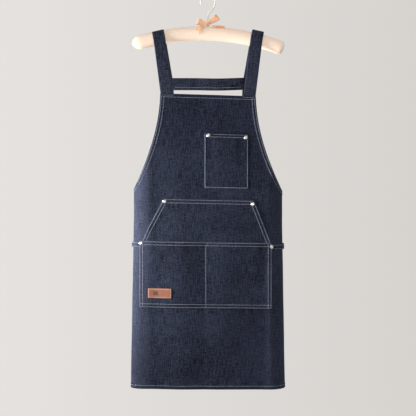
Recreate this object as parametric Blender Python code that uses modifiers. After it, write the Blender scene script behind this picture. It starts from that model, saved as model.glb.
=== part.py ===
"""Denim apron hanging on a padded hanger with a swivelling wire hook.

Units are metres and +Z is up. X runs to the wearer's left as the apron faces -Y.
The origin is the top of the hook's inside, where it rests on its rail.
"""

import math

import bmesh
import bpy
from mathutils import Matrix, Vector
from mathutils.geometry import interpolate_bezier

OBJECT_NAME = "apron_on_hook"

GAP = 0.0003  # clearance between pieces that touch

# Hook
WIRE_RADIUS = 0.00225
HOOK_RADIUS = 0.0185  # centreline of the hook's arc
HOOK_TIP_ANGLE = 205.0  # degrees round the arc, from the side where the wire comes up
HOOK_CENTRE_Z = -(HOOK_RADIUS - WIRE_RADIUS)
S_BEND_START_Z = -0.056
STEM_END_Z = -0.1086
STEM_HOLE_RADIUS = WIRE_RADIUS + 0.0004

# Padded hanger
HANGER_HALF_LENGTH = 0.1925
HANGER_CENTRE_Z = -0.0976
HANGER_DROP = 0.90  # the centreline falls by HANGER_DROP * x * x
HANGER_HALF_DEPTH = 0.0170
HANGER_HALF_HEIGHT = 0.0195
HANGER_ROUNDNESS = 0.80  # 1 is an ellipse, less is squarer
LEFT_END = (0.0240, 2.0)  # length of the rounded end and how blunt it is
RIGHT_END = (0.0150, 3.0)
COVER_THICKNESS = 0.0008
CORE_HALF_LENGTH = 0.176
CORE_HEIGHT = 0.024
CORE_THICKNESS = 0.012
COUNTERBORE_DEPTH = 0.006
COUNTERBORE_RADIUS = 0.0050
WASHER_RADIUS = 0.0044
WASHER_HEIGHT = 0.0008
NUT_RADIUS = 0.0042  # across the corners
NUT_HEIGHT = 0.0026

# Ribbon bow
RIBBON_WIDTH = 0.0145
RIBBON_THICKNESS = 0.0008
KNOT_CENTRE = Vector((-0.0005, -0.0078, -0.0738))
KNOT_SIZE = Vector((0.0090, 0.0056, 0.0090))
STEM_WRAP_THICKNESS = 0.0014
STEM_WRAP_HALF_HEIGHT = 0.0040
BOW_LOOP_LENGTH = 0.0235
BOW_LOOP_SWELL = 0.0042  # half the depth of a loop at its fullest
BOW_LOOP_ROOT = 0.0007  # half the depth of a loop where it leaves the knot
BOW_LOOP_CLEARANCE = 0.0004

# Apron cloth
CLOTH = 0.0020  # panel and straps
PATCH = 0.0012  # pockets
FOLD_STEPS = 20
FRONT_Y = -0.0208  # middle of the front panel's cloth
BACK_Y = 0.0555  # middle of the back wraps' cloth
FOLD_RUN = 0.043  # width of the rounded side fold, seen from the front
BIB_TOP_Z = -0.257
BIB_HALF_WIDTH = 0.1205
ARM_END_Z = -0.497  # where the armhole reaches the side fold
HEM_Z = -1.002
WRAP_EDGE_X = 0.075
WRAP_CORNER_Z = -0.600
WAIST_HALF_WIDTH = 0.190
WAIST_Z = -0.573
HEM_HALF_WIDTH = 0.1975

# Shoulder straps and cross band
STRAP_WIDTH = 0.0295
STRAP_HANGER_X = 0.1235
STRAP_BIB_X = 0.1030
STRAP_FRONT_END_Z = -0.276
STRAP_BAND_X = 0.1045
STRAP_BACK_X = 0.089
STRAP_BACK_END_Z = -0.622
BAND_Z = -0.2225
BAND_HEIGHT = 0.030
BAND_HALF_LENGTH = 0.115

# Pockets: left and right edges as seen from the front
CHEST = {"left": -0.0089, "right": 0.1015, "top": -0.354, "bottom": -0.492}
HAND_TOP = {"left": -0.113, "right": 0.117, "z": -0.522}
HAND_SIDE = {"left": -0.1695, "right": 0.1590, "z": -0.628}
LOWER = {"left": -0.1725, "right": 0.1605, "top": -0.629, "bottom": -0.797}
DIVIDER_X = -0.0056
POCKET_SWELL = 0.0060
SEAM = 0.0155  # flat margin of a pocket beside its stitching

# Label and rivets
LABEL = {"left": -0.1517, "right": -0.0933, "top": -0.749, "bottom": -0.772}
LABEL_THICKNESS = 0.0015
RIVET_HOLE_RADIUS = 0.0018
RIVET_POST_RADIUS = 0.0015
RIVET_CAP_RADIUS = 0.0046
RIVET_CAP_HEIGHT = 0.0022
RIVET_BACK_RADIUS = 0.0042
RIVET_BACK_HEIGHT = 0.0010
RIVET_PLACES = {
    "chest_left": (0.0010, -0.3590, 1),
    "chest_right": (0.0954, -0.3620, 1),
    "hand_left": (-0.1094, -0.5283, 1),
    "hand_right": (0.1130, -0.5308, 1),
    "lower_left": (-0.1700, -0.6350, 2),
    "lower_right": (0.1585, -0.6385, 2),
}  # x, z and the number of pocket layers under the cap

# Waist ties
TIE_WIDTH = 0.0125
TIE_THICKNESS = 0.0014
TIE_CLEARANCE = 0.0005  # between the tie and the cloth it passes over
TIE_Z = -0.6390
TIE_KNOT_CENTRE = Vector((0.0, 0.0640, -0.6440))
TIE_KNOT_SIZE = Vector((0.018, 0.010, 0.020))
TIE_LOOP_LENGTH = 0.105
TIE_TAIL_LENGTH = 0.300
TIE_LOOP_SWELL = 0.0060
TIE_LOOP_ROOT = 0.0012
TIE_LOOP_DROOP = (14.0, 86.0)  # degrees below the horizontal, at the knot and at the tip
TIE_LOOP_START = Vector((TIE_KNOT_SIZE.x / 2 + 0.0024, 0.0045, -0.0010))  # from the knot's centre
TIE_TAIL_START = Vector((0.0075, -0.0015, -TIE_KNOT_SIZE.z / 2 - 0.0006))


def clear_scene():
    for old in list(bpy.data.objects):
        bpy.data.objects.remove(old, do_unlink=True)


def make_collection(name):
    collection = bpy.data.collections.new(name)
    bpy.context.scene.collection.children.link(collection)
    return collection


def linear(channel):
    """One sRGB channel, 0 to 255, as a linear value."""
    value = channel / 255
    if value <= 0.04045:
        return value / 12.92
    return ((value + 0.055) / 1.055) ** 2.4


def make_material(name, rgb, roughness, metallic=0.0):
    material = bpy.data.materials.new(name)
    material.use_nodes = True
    shader = material.node_tree.nodes["Principled BSDF"]
    shader.inputs["Base Color"].default_value = [linear(c) for c in rgb] + [1.0]
    shader.inputs["Roughness"].default_value = roughness
    shader.inputs["Metallic"].default_value = metallic
    return material


def denim(name):
    return make_material(name, (42, 46, 60), 0.9)


def satin(name):
    return make_material(name, (243, 222, 203), 0.45)


def ribbon_satin(name):
    return make_material(name, (236, 205, 182), 0.4)


def coated_wire(name):
    return make_material(name, (238, 228, 216), 0.35)


def wood(name):
    return make_material(name, (196, 160, 116), 0.6)


def wadding(name):
    return make_material(name, (240, 238, 232), 0.95)


def steel(name):
    return make_material(name, (170, 172, 176), 0.35, 1.0)


def nickel(name):
    return make_material(name, (205, 205, 205), 0.25, 1.0)


def leather(name):
    return make_material(name, (190, 126, 98), 0.6)


def add_node(name, mesh, finish, parent, place=(0, 0, 0)):
    """A named object whose mesh is drawn about place, carried by parent."""
    node = bpy.data.objects.new(name, mesh)
    parts.objects.link(node)
    node.parent = parent
    node.location = Vector(place) - parent.location
    mesh.materials.append(finish(name))
    return node


def add_cutter(name, mesh):
    cutter = bpy.data.objects.new(name, mesh)
    cutters.objects.link(cutter)
    cutter.hide_render = True
    cutter.display_type = "WIRE"
    return cutter


def add_pivot(name, place):
    pivot = bpy.data.objects.new(name, None)
    parts.objects.link(pivot)
    pivot.location = place
    pivot.empty_display_size = 0.02
    return pivot


def mesh_from_bmesh(name, shape):
    mesh = bpy.data.meshes.new(name)
    shape.normal_update()
    shape.to_mesh(mesh)
    shape.free()
    return mesh


def rows_mesh(name, rows, ring=False):
    """An open sheet through rows of points, or a tube if each row is a ring."""
    shape = bmesh.new()
    grid = [[shape.verts.new(point) for point in row] for row in rows]
    count = len(grid[0])
    last = count if ring else count - 1
    for upper, lower in zip(grid, grid[1:]):
        for i in range(last):
            j = (i + 1) % count
            shape.faces.new((upper[i], lower[i], lower[j], upper[j]))
    if ring:
        shape.faces.new(grid[0])
        shape.faces.new(list(reversed(grid[-1])))
    bmesh.ops.recalc_face_normals(shape, faces=shape.faces)
    return mesh_from_bmesh(name, shape)


def smooth(node, angle=40):
    node.data.shade_smooth()
    node.data.set_sharp_from_angle(angle=math.radians(angle))


def solidify(node, thickness, offset=0.0):
    modifier = node.modifiers.new("thickness", "SOLIDIFY")
    modifier.thickness = thickness
    modifier.offset = offset
    modifier.use_even_offset = True


def bevel(node, width, segments=2):
    modifier = node.modifiers.new("rounding", "BEVEL")
    modifier.width = width
    modifier.segments = segments
    modifier.limit_method = "ANGLE"


def cut(node, cutter):
    modifier = node.modifiers.new("cut_" + cutter.name, "BOOLEAN")
    modifier.operation = "DIFFERENCE"
    modifier.solver = "EXACT"
    modifier.object = cutter


def turn(node, steps):
    """Spin a profile in the XZ plane round Z."""
    modifier = node.modifiers.new("turn", "SCREW")
    modifier.axis = "Z"
    modifier.steps = steps
    modifier.render_steps = steps
    modifier.use_merge_vertices = True
    modifier.merge_threshold = 0.00005


def profile_mesh(name, points, closed=False):
    shape = bmesh.new()
    corners = [shape.verts.new((radius, 0, z)) for radius, z in points]
    for a, b in zip(corners, corners[1:]):
        shape.edges.new((a, b))
    if closed:
        shape.edges.new((corners[-1], corners[0]))
    return mesh_from_bmesh(name, shape)


def add_sheet(name, rows, thickness, finish, parent, place=(0, 0, 0), offset=0.0):
    origin = Vector(place)
    local = [[Vector(point) - origin for point in row] for row in rows]
    node = add_node(name, rows_mesh(name, local), finish, parent, place)
    solidify(node, thickness, offset)
    smooth(node, 50)
    return node


def ribbon_rows(path, across):
    """Two edges of a strip that follows path; across is its full width vector."""
    half = Vector(across) / 2
    return [[Vector(point) - half, Vector(point) + half] for point in path]


def bezier(a, b, c, d, count):
    knots = [Vector(point) for point in (a, b, c, d)]
    return interpolate_bezier(*knots, count)


def ease(value, margin):
    """0 at the edge, 1 from margin inwards, with a smooth slope."""
    share = min(1.0, max(0.0, value / margin))
    return share * share * (3 - 2 * share)


def cylinder_shape(shape, radius, length, matrix, segments):
    bmesh.ops.create_cone(
        shape,
        cap_ends=True,
        segments=segments,
        radius1=radius,
        radius2=radius,
        depth=length,
        matrix=matrix,
    )


# Hook


def hook_path():
    """Centreline of the wire, from the stem's lower end to the tip."""
    stem = [Vector((0, 0, STEM_END_Z)), Vector((0, 0, S_BEND_START_Z - 0.004))]
    bend = bezier(
        (0, 0, S_BEND_START_Z),
        (0, 0, S_BEND_START_Z + 0.018),
        (HOOK_RADIUS, 0, HOOK_CENTRE_Z - 0.022),
        (HOOK_RADIUS, 0, HOOK_CENTRE_Z),
        10,
    )
    arc = []
    steps = 20
    for i in range(1, steps + 1):
        angle = math.radians(HOOK_TIP_ANGLE * i / steps)
        x = HOOK_RADIUS * math.cos(angle)
        z = HOOK_CENTRE_Z + HOOK_RADIUS * math.sin(angle)
        arc.append(Vector((x, 0, z)))
    return stem + bend + arc


def make_hook_wire(parent):
    curve = bpy.data.curves.new("hook_wire", "CURVE")
    curve.dimensions = "3D"
    curve.bevel_depth = WIRE_RADIUS
    curve.bevel_resolution = 2
    curve.use_fill_caps = True
    spline = curve.splines.new("POLY")
    points = hook_path()
    spline.points.add(len(points) - 1)
    for target, point in zip(spline.points, points):
        target.co = (*point, 1)
    wire = bpy.data.objects.new("hook_wire", curve)
    parts.objects.link(wire)
    wire.parent = parent
    curve.materials.append(coated_wire("hook_wire"))


def make_stem_fixings(parent):
    """Washer and nut in the counterbore under the core."""
    ledge = HANGER_CENTRE_Z - CORE_HEIGHT / 2 + COUNTERBORE_DEPTH
    washer_top = ledge - GAP
    inner = STEM_HOLE_RADIUS
    outer, height = WASHER_RADIUS, WASHER_HEIGHT
    corners = [(outer, 0), (outer, -height), (inner, -height), (inner, 0)]
    mesh = profile_mesh("stem_washer", corners, closed=True)
    washer = add_node("stem_washer", mesh, steel, parent, (0, 0, washer_top))
    turn(washer, 24)

    nut_middle = washer_top - height - GAP - NUT_HEIGHT / 2
    shape = bmesh.new()
    cylinder_shape(shape, NUT_RADIUS, NUT_HEIGHT, Matrix(), 6)
    nut_mesh = mesh_from_bmesh("stem_nut", shape)
    nut = add_node("stem_nut", nut_mesh, steel, parent, (0, 0, nut_middle))
    hole = bmesh.new()
    cylinder_shape(hole, inner, 0.01, Matrix.Translation((0, 0, nut_middle)), 16)
    cut(nut, add_cutter("nut_hole", mesh_from_bmesh("nut_hole", hole)))


# Hanger


def hanger_z(x):
    return HANGER_CENTRE_Z - HANGER_DROP * x * x


def hanger_slope(x):
    """Angle of the hanger's centreline below the horizontal at x."""
    return math.atan(2 * HANGER_DROP * x)


def squared(value, power):
    """A sine or cosine drawn out towards 1, which makes a round section squarer."""
    return math.copysign(abs(value) ** power, value)


def hanger_point(x, angle, depth, height):
    """Point round the hanger at x: angle 0 is on top and 90 degrees is in front."""
    slope = hanger_slope(x)
    rise = height * squared(math.cos(angle), HANGER_ROUNDNESS)
    return Vector(
        (
            x + rise * math.sin(slope),
            -depth * squared(math.sin(angle), HANGER_ROUNDNESS),
            hanger_z(x) + rise * math.cos(slope),
        )
    )


def end_stations(end, inset):
    """Distances from the middle and section scales along one rounded end."""
    length, bluntness = end
    stations = []
    for degrees in (0, 30, 52, 70, 84):
        angle = math.radians(degrees)
        run = (length - inset) * math.sin(angle)
        scale = (1 - math.sin(angle) ** bluntness) ** (1 / bluntness)
        stations.append((HANGER_HALF_LENGTH - length + run, scale))
    return stations


def hanger_rings(inset):
    """Rings of the padded shape, drawn in by inset."""
    left = [(-x, scale) for x, scale in end_stations(LEFT_END, inset)]
    right = end_stations(RIGHT_END, inset)
    straight = []
    for i in range(1, 10):
        x = left[0][0] + (right[0][0] - left[0][0]) * i / 10
        straight.append((x, 1.0))
    rings = []
    for x, scale in list(reversed(left)) + straight + right:
        depth = (HANGER_HALF_DEPTH - inset) * scale
        height = (HANGER_HALF_HEIGHT - inset) * scale
        ring = [hanger_point(x, math.tau * k / 16, depth, height) for k in range(16)]
        rings.append(ring)
    return rings


def core_mesh(name, growth):
    """The arched bar as an upright strip; its thickness comes from Solidify."""
    steps = 14
    half_height = CORE_HEIGHT / 2 + growth
    half_length = CORE_HALF_LENGTH + growth
    rows = []
    for i in range(steps + 1):
        x = half_length * (2 * i / steps - 1)
        z = hanger_z(x)
        rows.append([Vector((x, 0, z - half_height)), Vector((x, 0, z + half_height))])
    return rows_mesh(name, rows)


def stem_hole_cutter(name, radius, top, bottom):
    shape = bmesh.new()
    middle = Matrix.Translation((0, 0, (top + bottom) / 2))
    cylinder_shape(shape, radius, top - bottom, middle, 16)
    return add_cutter(name, mesh_from_bmesh(name, shape))


def make_hanger(parent):
    core_bottom = HANGER_CENTRE_Z - CORE_HEIGHT / 2
    core_top = HANGER_CENTRE_Z + CORE_HEIGHT / 2

    core = add_node("hanger_core", core_mesh("hanger_core", 0), wood, parent)
    solidify(core, CORE_THICKNESS)
    bevel(core, 0.0025)
    cut(core, stem_hole_cutter("stem_bore", STEM_HOLE_RADIUS, core_top + 0.01, core_bottom - 0.01))
    ledge = core_bottom + COUNTERBORE_DEPTH
    cut(core, stem_hole_cutter("counterbore", COUNTERBORE_RADIUS, ledge, core_bottom - 0.01))
    smooth(core)

    inset = COVER_THICKNESS + GAP
    padding_mesh = rows_mesh("hanger_padding", hanger_rings(inset), ring=True)
    padding = add_node("hanger_padding", padding_mesh, wadding, parent)
    cavity = add_cutter("core_cavity", core_mesh("core_cavity", GAP))
    solidify(cavity, CORE_THICKNESS + 2 * GAP)
    cut(padding, cavity)
    opening = STEM_HOLE_RADIUS + 0.0008
    top = HANGER_CENTRE_Z + HANGER_HALF_HEIGHT + 0.01
    cut(padding, stem_hole_cutter("padding_hole", opening, top, core_top - 0.002))
    smooth(padding)

    cover_mesh = rows_mesh("hanger_cover", hanger_rings(0), ring=True)
    cover = add_node("hanger_cover", cover_mesh, satin, parent)
    solidify(cover, COVER_THICKNESS, -1.0)
    cut(cover, stem_hole_cutter("cover_hole", opening, top, core_top + 0.003))
    smooth(cover)


# Ribbon bow on the hook's stem


def make_stem_wrap(parent):
    inner = WIRE_RADIUS + 0.0004
    outer = inner + STEM_WRAP_THICKNESS
    half = STEM_WRAP_HALF_HEIGHT
    corners = [(outer, half), (outer, -half), (inner, -half), (inner, half)]
    mesh = profile_mesh("bow_stem_wrap", corners, closed=True)
    place = (0, 0, KNOT_CENTRE.z)
    wrap = add_node("bow_stem_wrap", mesh, ribbon_satin, parent, place)
    turn(wrap, 20)


def block_mesh(name, size):
    shape = bmesh.new()
    bmesh.ops.create_cube(shape, size=1.0, matrix=Matrix.Diagonal((*size, 1)))
    return mesh_from_bmesh(name, shape)


def make_bow_knot(parent):
    mesh = block_mesh("bow_knot", KNOT_SIZE)
    knot = add_node("bow_knot", mesh, ribbon_satin, parent, KNOT_CENTRE)
    bevel(knot, 0.0018, 3)
    smooth(knot, 60)


def teardrop(length, swell, root):
    """A loop drawn along +X in the XY plane, from its near end and back again."""
    points = []
    steps = 14
    for i in range(steps + 1):
        angle = math.pi * i / steps
        run = length * math.sin(angle) ** 0.7
        spread = math.cos(angle)
        bulge = root + swell * math.sin(angle) ** 2
        points.append(Vector((run, bulge * spread, 0)))
    return points


def make_bow_loop(name, side, tilt, parent):
    """One loop of the bow, leaving the knot towards side and lifted by tilt degrees."""
    turned = Matrix.Rotation(-side * math.radians(tilt), 4, "Y")
    pinch = 0.45 * RIBBON_WIDTH
    lean = math.sin(math.radians(tilt)) * pinch / 2
    near_knot = KNOT_SIZE.x / 2 + GAP + BOW_LOOP_CLEARANCE + lean
    start = Vector((side * near_knot, 0, RIBBON_THICKNESS))
    length = BOW_LOOP_LENGTH - lean
    rows = []
    for point in teardrop(length, BOW_LOOP_SWELL, BOW_LOOP_ROOT):
        spot = turned @ Vector((side * point.x, point.y, 0))
        middle = KNOT_CENTRE + start + spot
        width = pinch + (RIBBON_WIDTH - pinch) * ease(point.x, 0.7 * length)
        half = turned @ Vector((0, 0, width / 2))
        rows.append([middle - half, middle + half])
    add_sheet(name, rows, RIBBON_THICKNESS, ribbon_satin, parent, KNOT_CENTRE)


def make_bow_tail(name, start, end, parent):
    """A ribbon end that lies on the cover; start and end are (along, round) in metres."""
    surface_radius = (HANGER_HALF_DEPTH + HANGER_HALF_HEIGHT) / 2
    lift = GAP + 0.0006 + RIBBON_THICKNESS / 2
    run = Vector(end) - Vector(start)
    side = Vector((-run.y, run.x)).normalized()
    rows = []
    for i in range(6):
        middle = Vector(start) + run * i / 5
        row = []
        for k in range(5):
            spot = middle + side * RIBBON_WIDTH * (k / 4 - 0.5)
            angle = spot.y / surface_radius
            depth = HANGER_HALF_DEPTH + lift
            height = HANGER_HALF_HEIGHT + lift
            row.append(hanger_point(spot.x, angle, depth, height))
        rows.append(row)
    add_sheet(name, rows, RIBBON_THICKNESS, ribbon_satin, parent)


def make_bow(parent):
    make_stem_wrap(parent)
    make_bow_knot(parent)
    make_bow_loop("bow_loop_left", -1, 12, parent)
    make_bow_loop("bow_loop_right", 1, 38, parent)
    make_bow_tail("bow_tail_left", (-0.012, 0.007), (-0.025, 0.026), parent)
    make_bow_tail("bow_tail_right", (0.012, 0.008), (0.043, 0.011), parent)


# Apron body


def half_width(z):
    """Half of the skirt's width, from the waist to the hem."""
    if z >= WAIST_Z:
        return WAIST_HALF_WIDTH
    share = (WAIST_Z - z) / (WAIST_Z - HEM_Z)
    return WAIST_HALF_WIDTH + share * (HEM_HALF_WIDTH - WAIST_HALF_WIDTH)


def fold_point(angle, z, offset=0.0):
    """Point on the right side fold: -90 degrees is in front and +90 behind."""
    start = half_width(z) - FOLD_RUN
    run = FOLD_RUN * math.cos(angle)
    depth = (BACK_Y - FRONT_Y) / 2
    rise = depth * math.sin(angle)
    normal = Vector((math.cos(angle) / FOLD_RUN, math.sin(angle) / depth)).normalized()
    middle = (BACK_Y + FRONT_Y) / 2
    return Vector((start + run + normal.x * offset, middle + rise + normal.y * offset, z))


def fold_angle(x, z):
    """Angle on the fold's front half at the distance x from the middle."""
    start = half_width(z) - FOLD_RUN
    return -math.acos(min(1.0, max(0.0, (x - start) / FOLD_RUN)))


def front_point(x, z, offset):
    """Point on the front of the apron, offset outwards from the middle of its cloth."""
    start = half_width(z) - FOLD_RUN
    if abs(x) <= start:
        return Vector((x, FRONT_Y - offset, z))
    point = fold_point(fold_angle(abs(x), z), z, offset)
    return Vector((math.copysign(point.x, x), point.y, z))


def front_normal_angle(x, z):
    """Turn about Z that takes -Y to the cloth's outward direction at x."""
    start = half_width(z) - FOLD_RUN
    if abs(x) <= start:
        return 0.0
    angle = fold_angle(abs(x), z)
    depth = (BACK_Y - FRONT_Y) / 2
    lean = math.atan2(math.cos(angle) / FOLD_RUN, -math.sin(angle) / depth)
    return math.copysign(lean, x)


def skirt_half_row(z):
    row = [Vector((0, FRONT_Y, z)), Vector((half_width(z) - FOLD_RUN, FRONT_Y, z))]
    for i in range(1, FOLD_STEPS):
        row.append(fold_point(math.pi * (i / FOLD_STEPS - 0.5), z))
    row.append(Vector((half_width(z) - FOLD_RUN, BACK_Y, z)))
    row.append(Vector((WRAP_EDGE_X, BACK_Y, z)))
    return row


def outline_cutter(name, outline, near_y, far_y):
    """A block with the outline (x, z), on both sides of the middle, from near_y to far_y."""
    shape = bmesh.new()
    for side in (1, -1):
        near = [shape.verts.new((side * x, near_y, z)) for x, z in outline]
        far = [shape.verts.new((side * x, far_y, z)) for x, z in outline]
        shape.faces.new(near)
        shape.faces.new(far)
        count = len(outline)
        for i in range(count):
            j = (i + 1) % count
            shape.faces.new((near[i], near[j], far[j], far[i]))
    bmesh.ops.recalc_face_normals(shape, faces=shape.faces)
    return add_cutter(name, mesh_from_bmesh(name, shape))


def armhole_cutter():
    curve = bezier(
        (BIB_HALF_WIDTH, 0, BIB_TOP_Z),
        (BIB_HALF_WIDTH + 0.0025, 0, BIB_TOP_Z - 0.080),
        (0.146, 0, -0.412),
        (WAIST_HALF_WIDTH, 0, ARM_END_Z),
        16,
    )
    outline = [(point.x, point.z) for point in curve]
    outline += [(0.26, ARM_END_Z), (0.26, BIB_TOP_Z + 0.05), (BIB_HALF_WIDTH, BIB_TOP_Z + 0.05)]
    middle = (FRONT_Y + BACK_Y) / 2
    return outline_cutter("armholes", outline, FRONT_Y - 0.05, middle)


def wrap_cutter():
    curve = bezier(
        (WAIST_HALF_WIDTH, 0, ARM_END_Z),
        (0.166, 0, -0.543),
        (0.132, 0, -0.590),
        (WRAP_EDGE_X - 0.02, 0, WRAP_CORNER_Z),
        14,
    )
    outline = [(point.x, point.z) for point in curve]
    outline += [(WRAP_EDGE_X - 0.02, BIB_TOP_Z + 0.05), (0.26, BIB_TOP_Z + 0.05), (0.26, ARM_END_Z)]
    middle = (FRONT_Y + BACK_Y) / 2
    return outline_cutter("wrap_tops", outline, middle - 0.001, BACK_Y + 0.05)


def make_apron_body(parent, holes):
    rows = [skirt_half_row(z) for z in (BIB_TOP_Z, WAIST_Z, HEM_Z)]
    body = add_node("apron_body", rows_mesh("apron_body", rows), denim, parent)
    modifier = body.modifiers.new("both_sides", "MIRROR")
    modifier.use_axis = (True, False, False)
    modifier.merge_threshold = 0.0001
    solidify(body, CLOTH)
    cut(body, armhole_cutter())
    cut(body, wrap_cutter())
    cut(body, holes)
    smooth(body, 30)


# Straps and band


def strap_path(side):
    """Middle of a shoulder strap, from behind the bib over the hanger to the back."""
    radius_y = HANGER_HALF_DEPTH + GAP + 0.0002 + CLOTH / 2
    radius_z = HANGER_HALF_HEIGHT + GAP + 0.0006 + CLOTH / 2
    path = [Vector((STRAP_BIB_X, -radius_y, STRAP_FRONT_END_Z))]
    path.append(Vector((STRAP_BIB_X + 0.0025, -radius_y, BIB_TOP_Z + 0.003)))
    steps = 10
    for i in range(steps + 1):
        angle = math.pi * (0.5 - i / steps)
        path.append(hanger_point(STRAP_HANGER_X, angle, radius_y, radius_z))
    path.append(strap_back_point(BAND_Z))
    path.append(strap_back_point(-0.40))
    path.append(strap_back_point(STRAP_BACK_END_Z))
    return [Vector((side * point.x, point.y, point.z)) for point in path]


def strap_back_point(z):
    """Middle of the right strap behind the wearer, at the height z."""
    start = HANGER_HALF_DEPTH + GAP + 0.0002 + CLOTH / 2
    end = BACK_Y - CLOTH - GAP
    top = hanger_z(STRAP_HANGER_X)
    share = (top - z) / (top - STRAP_BACK_END_Z)
    if z >= BAND_Z:
        along = (top - z) / (top - BAND_Z)
        x = STRAP_HANGER_X + along * (STRAP_BAND_X - STRAP_HANGER_X)
    else:
        along = (BAND_Z - z) / (BAND_Z - STRAP_BACK_END_Z)
        x = STRAP_BAND_X + along * (STRAP_BACK_X - STRAP_BAND_X)
    return Vector((x, start + share * (end - start), z))


def make_strap(name, side, parent):
    slope = hanger_slope(STRAP_HANGER_X)
    across = Vector((side * math.cos(slope), 0, -math.sin(slope))) * STRAP_WIDTH
    rows = ribbon_rows(strap_path(side), across)
    place = strap_path(side)[7]
    add_sheet(name, rows, CLOTH, denim, parent, place)


def make_back_band(parent):
    """The band lies on the inner side of both straps and is sewn to them."""
    top = strap_back_point(BAND_Z + BAND_HEIGHT / 2)
    bottom = strap_back_point(BAND_Z - BAND_HEIGHT / 2)
    inward = Vector((0, -(CLOTH + GAP + 0.0002), 0))
    rows = []
    for i in range(7):
        x = BAND_HALF_LENGTH * (i / 3 - 1)
        high = Vector((x, top.y, top.z)) + inward
        low = Vector((x, bottom.y, bottom.z)) + inward
        rows.append([high, low])
    add_sheet("back_band", rows, CLOTH, denim, parent, (0, top.y, BAND_Z))


# Pockets


def spaced(start, end, count):
    return [start + (end - start) * i / count for i in range(count + 1)]


def side_positions(edge, z):
    """Positions from a pocket's side edge to where the cloth is flat."""
    start = half_width(z) - FOLD_RUN
    if abs(edge) <= start:
        return spaced(edge, edge - math.copysign(SEAM, edge), 4)
    positions = []
    for angle in spaced(fold_angle(abs(edge), z), -math.pi / 2, 4):
        positions.append(math.copysign(start + FOLD_RUN * math.cos(angle), edge))
    return positions


def across_positions(left, right, z, count):
    near_left = side_positions(left, z)
    near_right = side_positions(right, z)
    middle = spaced(near_left[-1], near_right[-1], count)
    return near_left[:-1] + middle + list(reversed(near_right[:-1]))


def add_pocket(name, levels, parent, layer, swell, holes):
    """A pocket patch on the front of the apron.

    levels is a list of (left, right, z, x positions); swell(x, z) is how far the
    cloth stands off; layer is how many patches already lie under this one.
    """
    base = CLOTH / 2 + GAP + PATCH / 2 + layer * (PATCH + GAP)
    rows = []
    for z, positions in levels:
        rows.append([front_point(x, z, base + swell(x, z)) for x in positions])
    middle = rows[0][len(rows[0]) // 2]
    pocket = add_sheet(name, rows, PATCH, denim, parent, (middle.x, middle.y, middle.z))
    cut(pocket, holes)


def make_chest_pocket(parent, holes):
    height = CHEST["top"] - CHEST["bottom"]

    def swell(x, z):
        side = ease(x - CHEST["left"] - SEAM, 0.020) * ease(CHEST["right"] - SEAM - x, 0.020)
        depth = ease(z - CHEST["bottom"] - SEAM, 0.6 * height)
        return POCKET_SWELL * side * depth

    positions = spaced(CHEST["left"], CHEST["right"], 12)
    levels = [(z, positions) for z in spaced(CHEST["top"], CHEST["bottom"], 8)]
    add_pocket("chest_pocket", levels, parent, 0, swell, holes)


def hand_pocket_edges(z):
    """Left and right edges of the hand pocket at the height z."""
    share = min(1.0, (HAND_TOP["z"] - z) / (HAND_TOP["z"] - HAND_SIDE["z"]))
    left = HAND_TOP["left"] + share * (HAND_SIDE["left"] - HAND_TOP["left"])
    right = HAND_TOP["right"] + share * (HAND_SIDE["right"] - HAND_TOP["right"])
    return left, right


def make_hand_pocket(parent, holes):
    height = HAND_TOP["z"] - HAND_SIDE["z"]

    def swell(x, z):
        below_top = HAND_TOP["z"] - z
        rise = ease(below_top - 0.016, 0.024)
        fall = ease(height - 0.008 - below_top, 0.024)
        return POCKET_SWELL * rise * fall

    levels = []
    heights = spaced(HAND_TOP["z"], HAND_SIDE["z"], 20) + [-0.66, LOWER["bottom"] + 0.002]
    for z in heights:
        left, right = hand_pocket_edges(z)
        levels.append((z, across_positions(left, right, z, 6)))
    add_pocket("hand_pocket", levels, parent, 0, swell, holes)


def lower_swell(x, z):
    """How far the lower pocket stands off, in its two compartments."""
    left = ease(x - LOWER["left"] - SEAM, 0.030) * ease(DIVIDER_X - 0.003 - x, 0.025)
    right = ease(x - DIVIDER_X - 0.003, 0.025) * ease(LOWER["right"] - SEAM - x, 0.030)
    depth = ease(z - LOWER["bottom"] - SEAM, 0.6 * (LOWER["top"] - LOWER["bottom"]))
    return POCKET_SWELL * (left + right) * depth


def make_lower_pocket(parent, holes):
    divider = [DIVIDER_X + step for step in (-0.028, -0.016, 0, 0.016, 0.028)]
    levels = []
    for z in spaced(LOWER["top"], LOWER["bottom"], 8):
        near_left = side_positions(LOWER["left"], z)
        near_right = side_positions(LOWER["right"], z)
        left_half = spaced(near_left[-1] + 0.012, divider[0] - 0.02, 3)
        right_half = spaced(divider[-1] + 0.02, near_right[-1] - 0.012, 3)
        positions = near_left + left_half + divider + right_half + list(reversed(near_right))
        levels.append((z, positions))
    add_pocket("lower_pocket", levels, parent, 1, lower_swell, holes)


def make_label(parent):
    """A leather tab on the lower pocket, near its bottom left corner."""
    lift = CLOTH / 2 + 2 * (GAP + PATCH) + GAP + LABEL_THICKNESS / 2
    rows = []
    for z in spaced(LABEL["top"], LABEL["bottom"], 2):
        positions = spaced(LABEL["left"], LABEL["right"], 6)
        rows.append([front_point(x, z, lift + lower_swell(x, z)) for x in positions])
    place = rows[0][3]
    add_sheet("leather_label", rows, LABEL_THICKNESS, leather, parent, place)


# Rivets


def rivet_frame(x, z, offset):
    """Place and direction of a rivet: its own +Z points out of the cloth."""
    point = front_point(x, z, offset)
    lean = front_normal_angle(x, z)
    turn_out = Matrix.Rotation(lean, 4, "Z") @ Matrix.Rotation(math.radians(90), 4, "X")
    return point, turn_out


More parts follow.
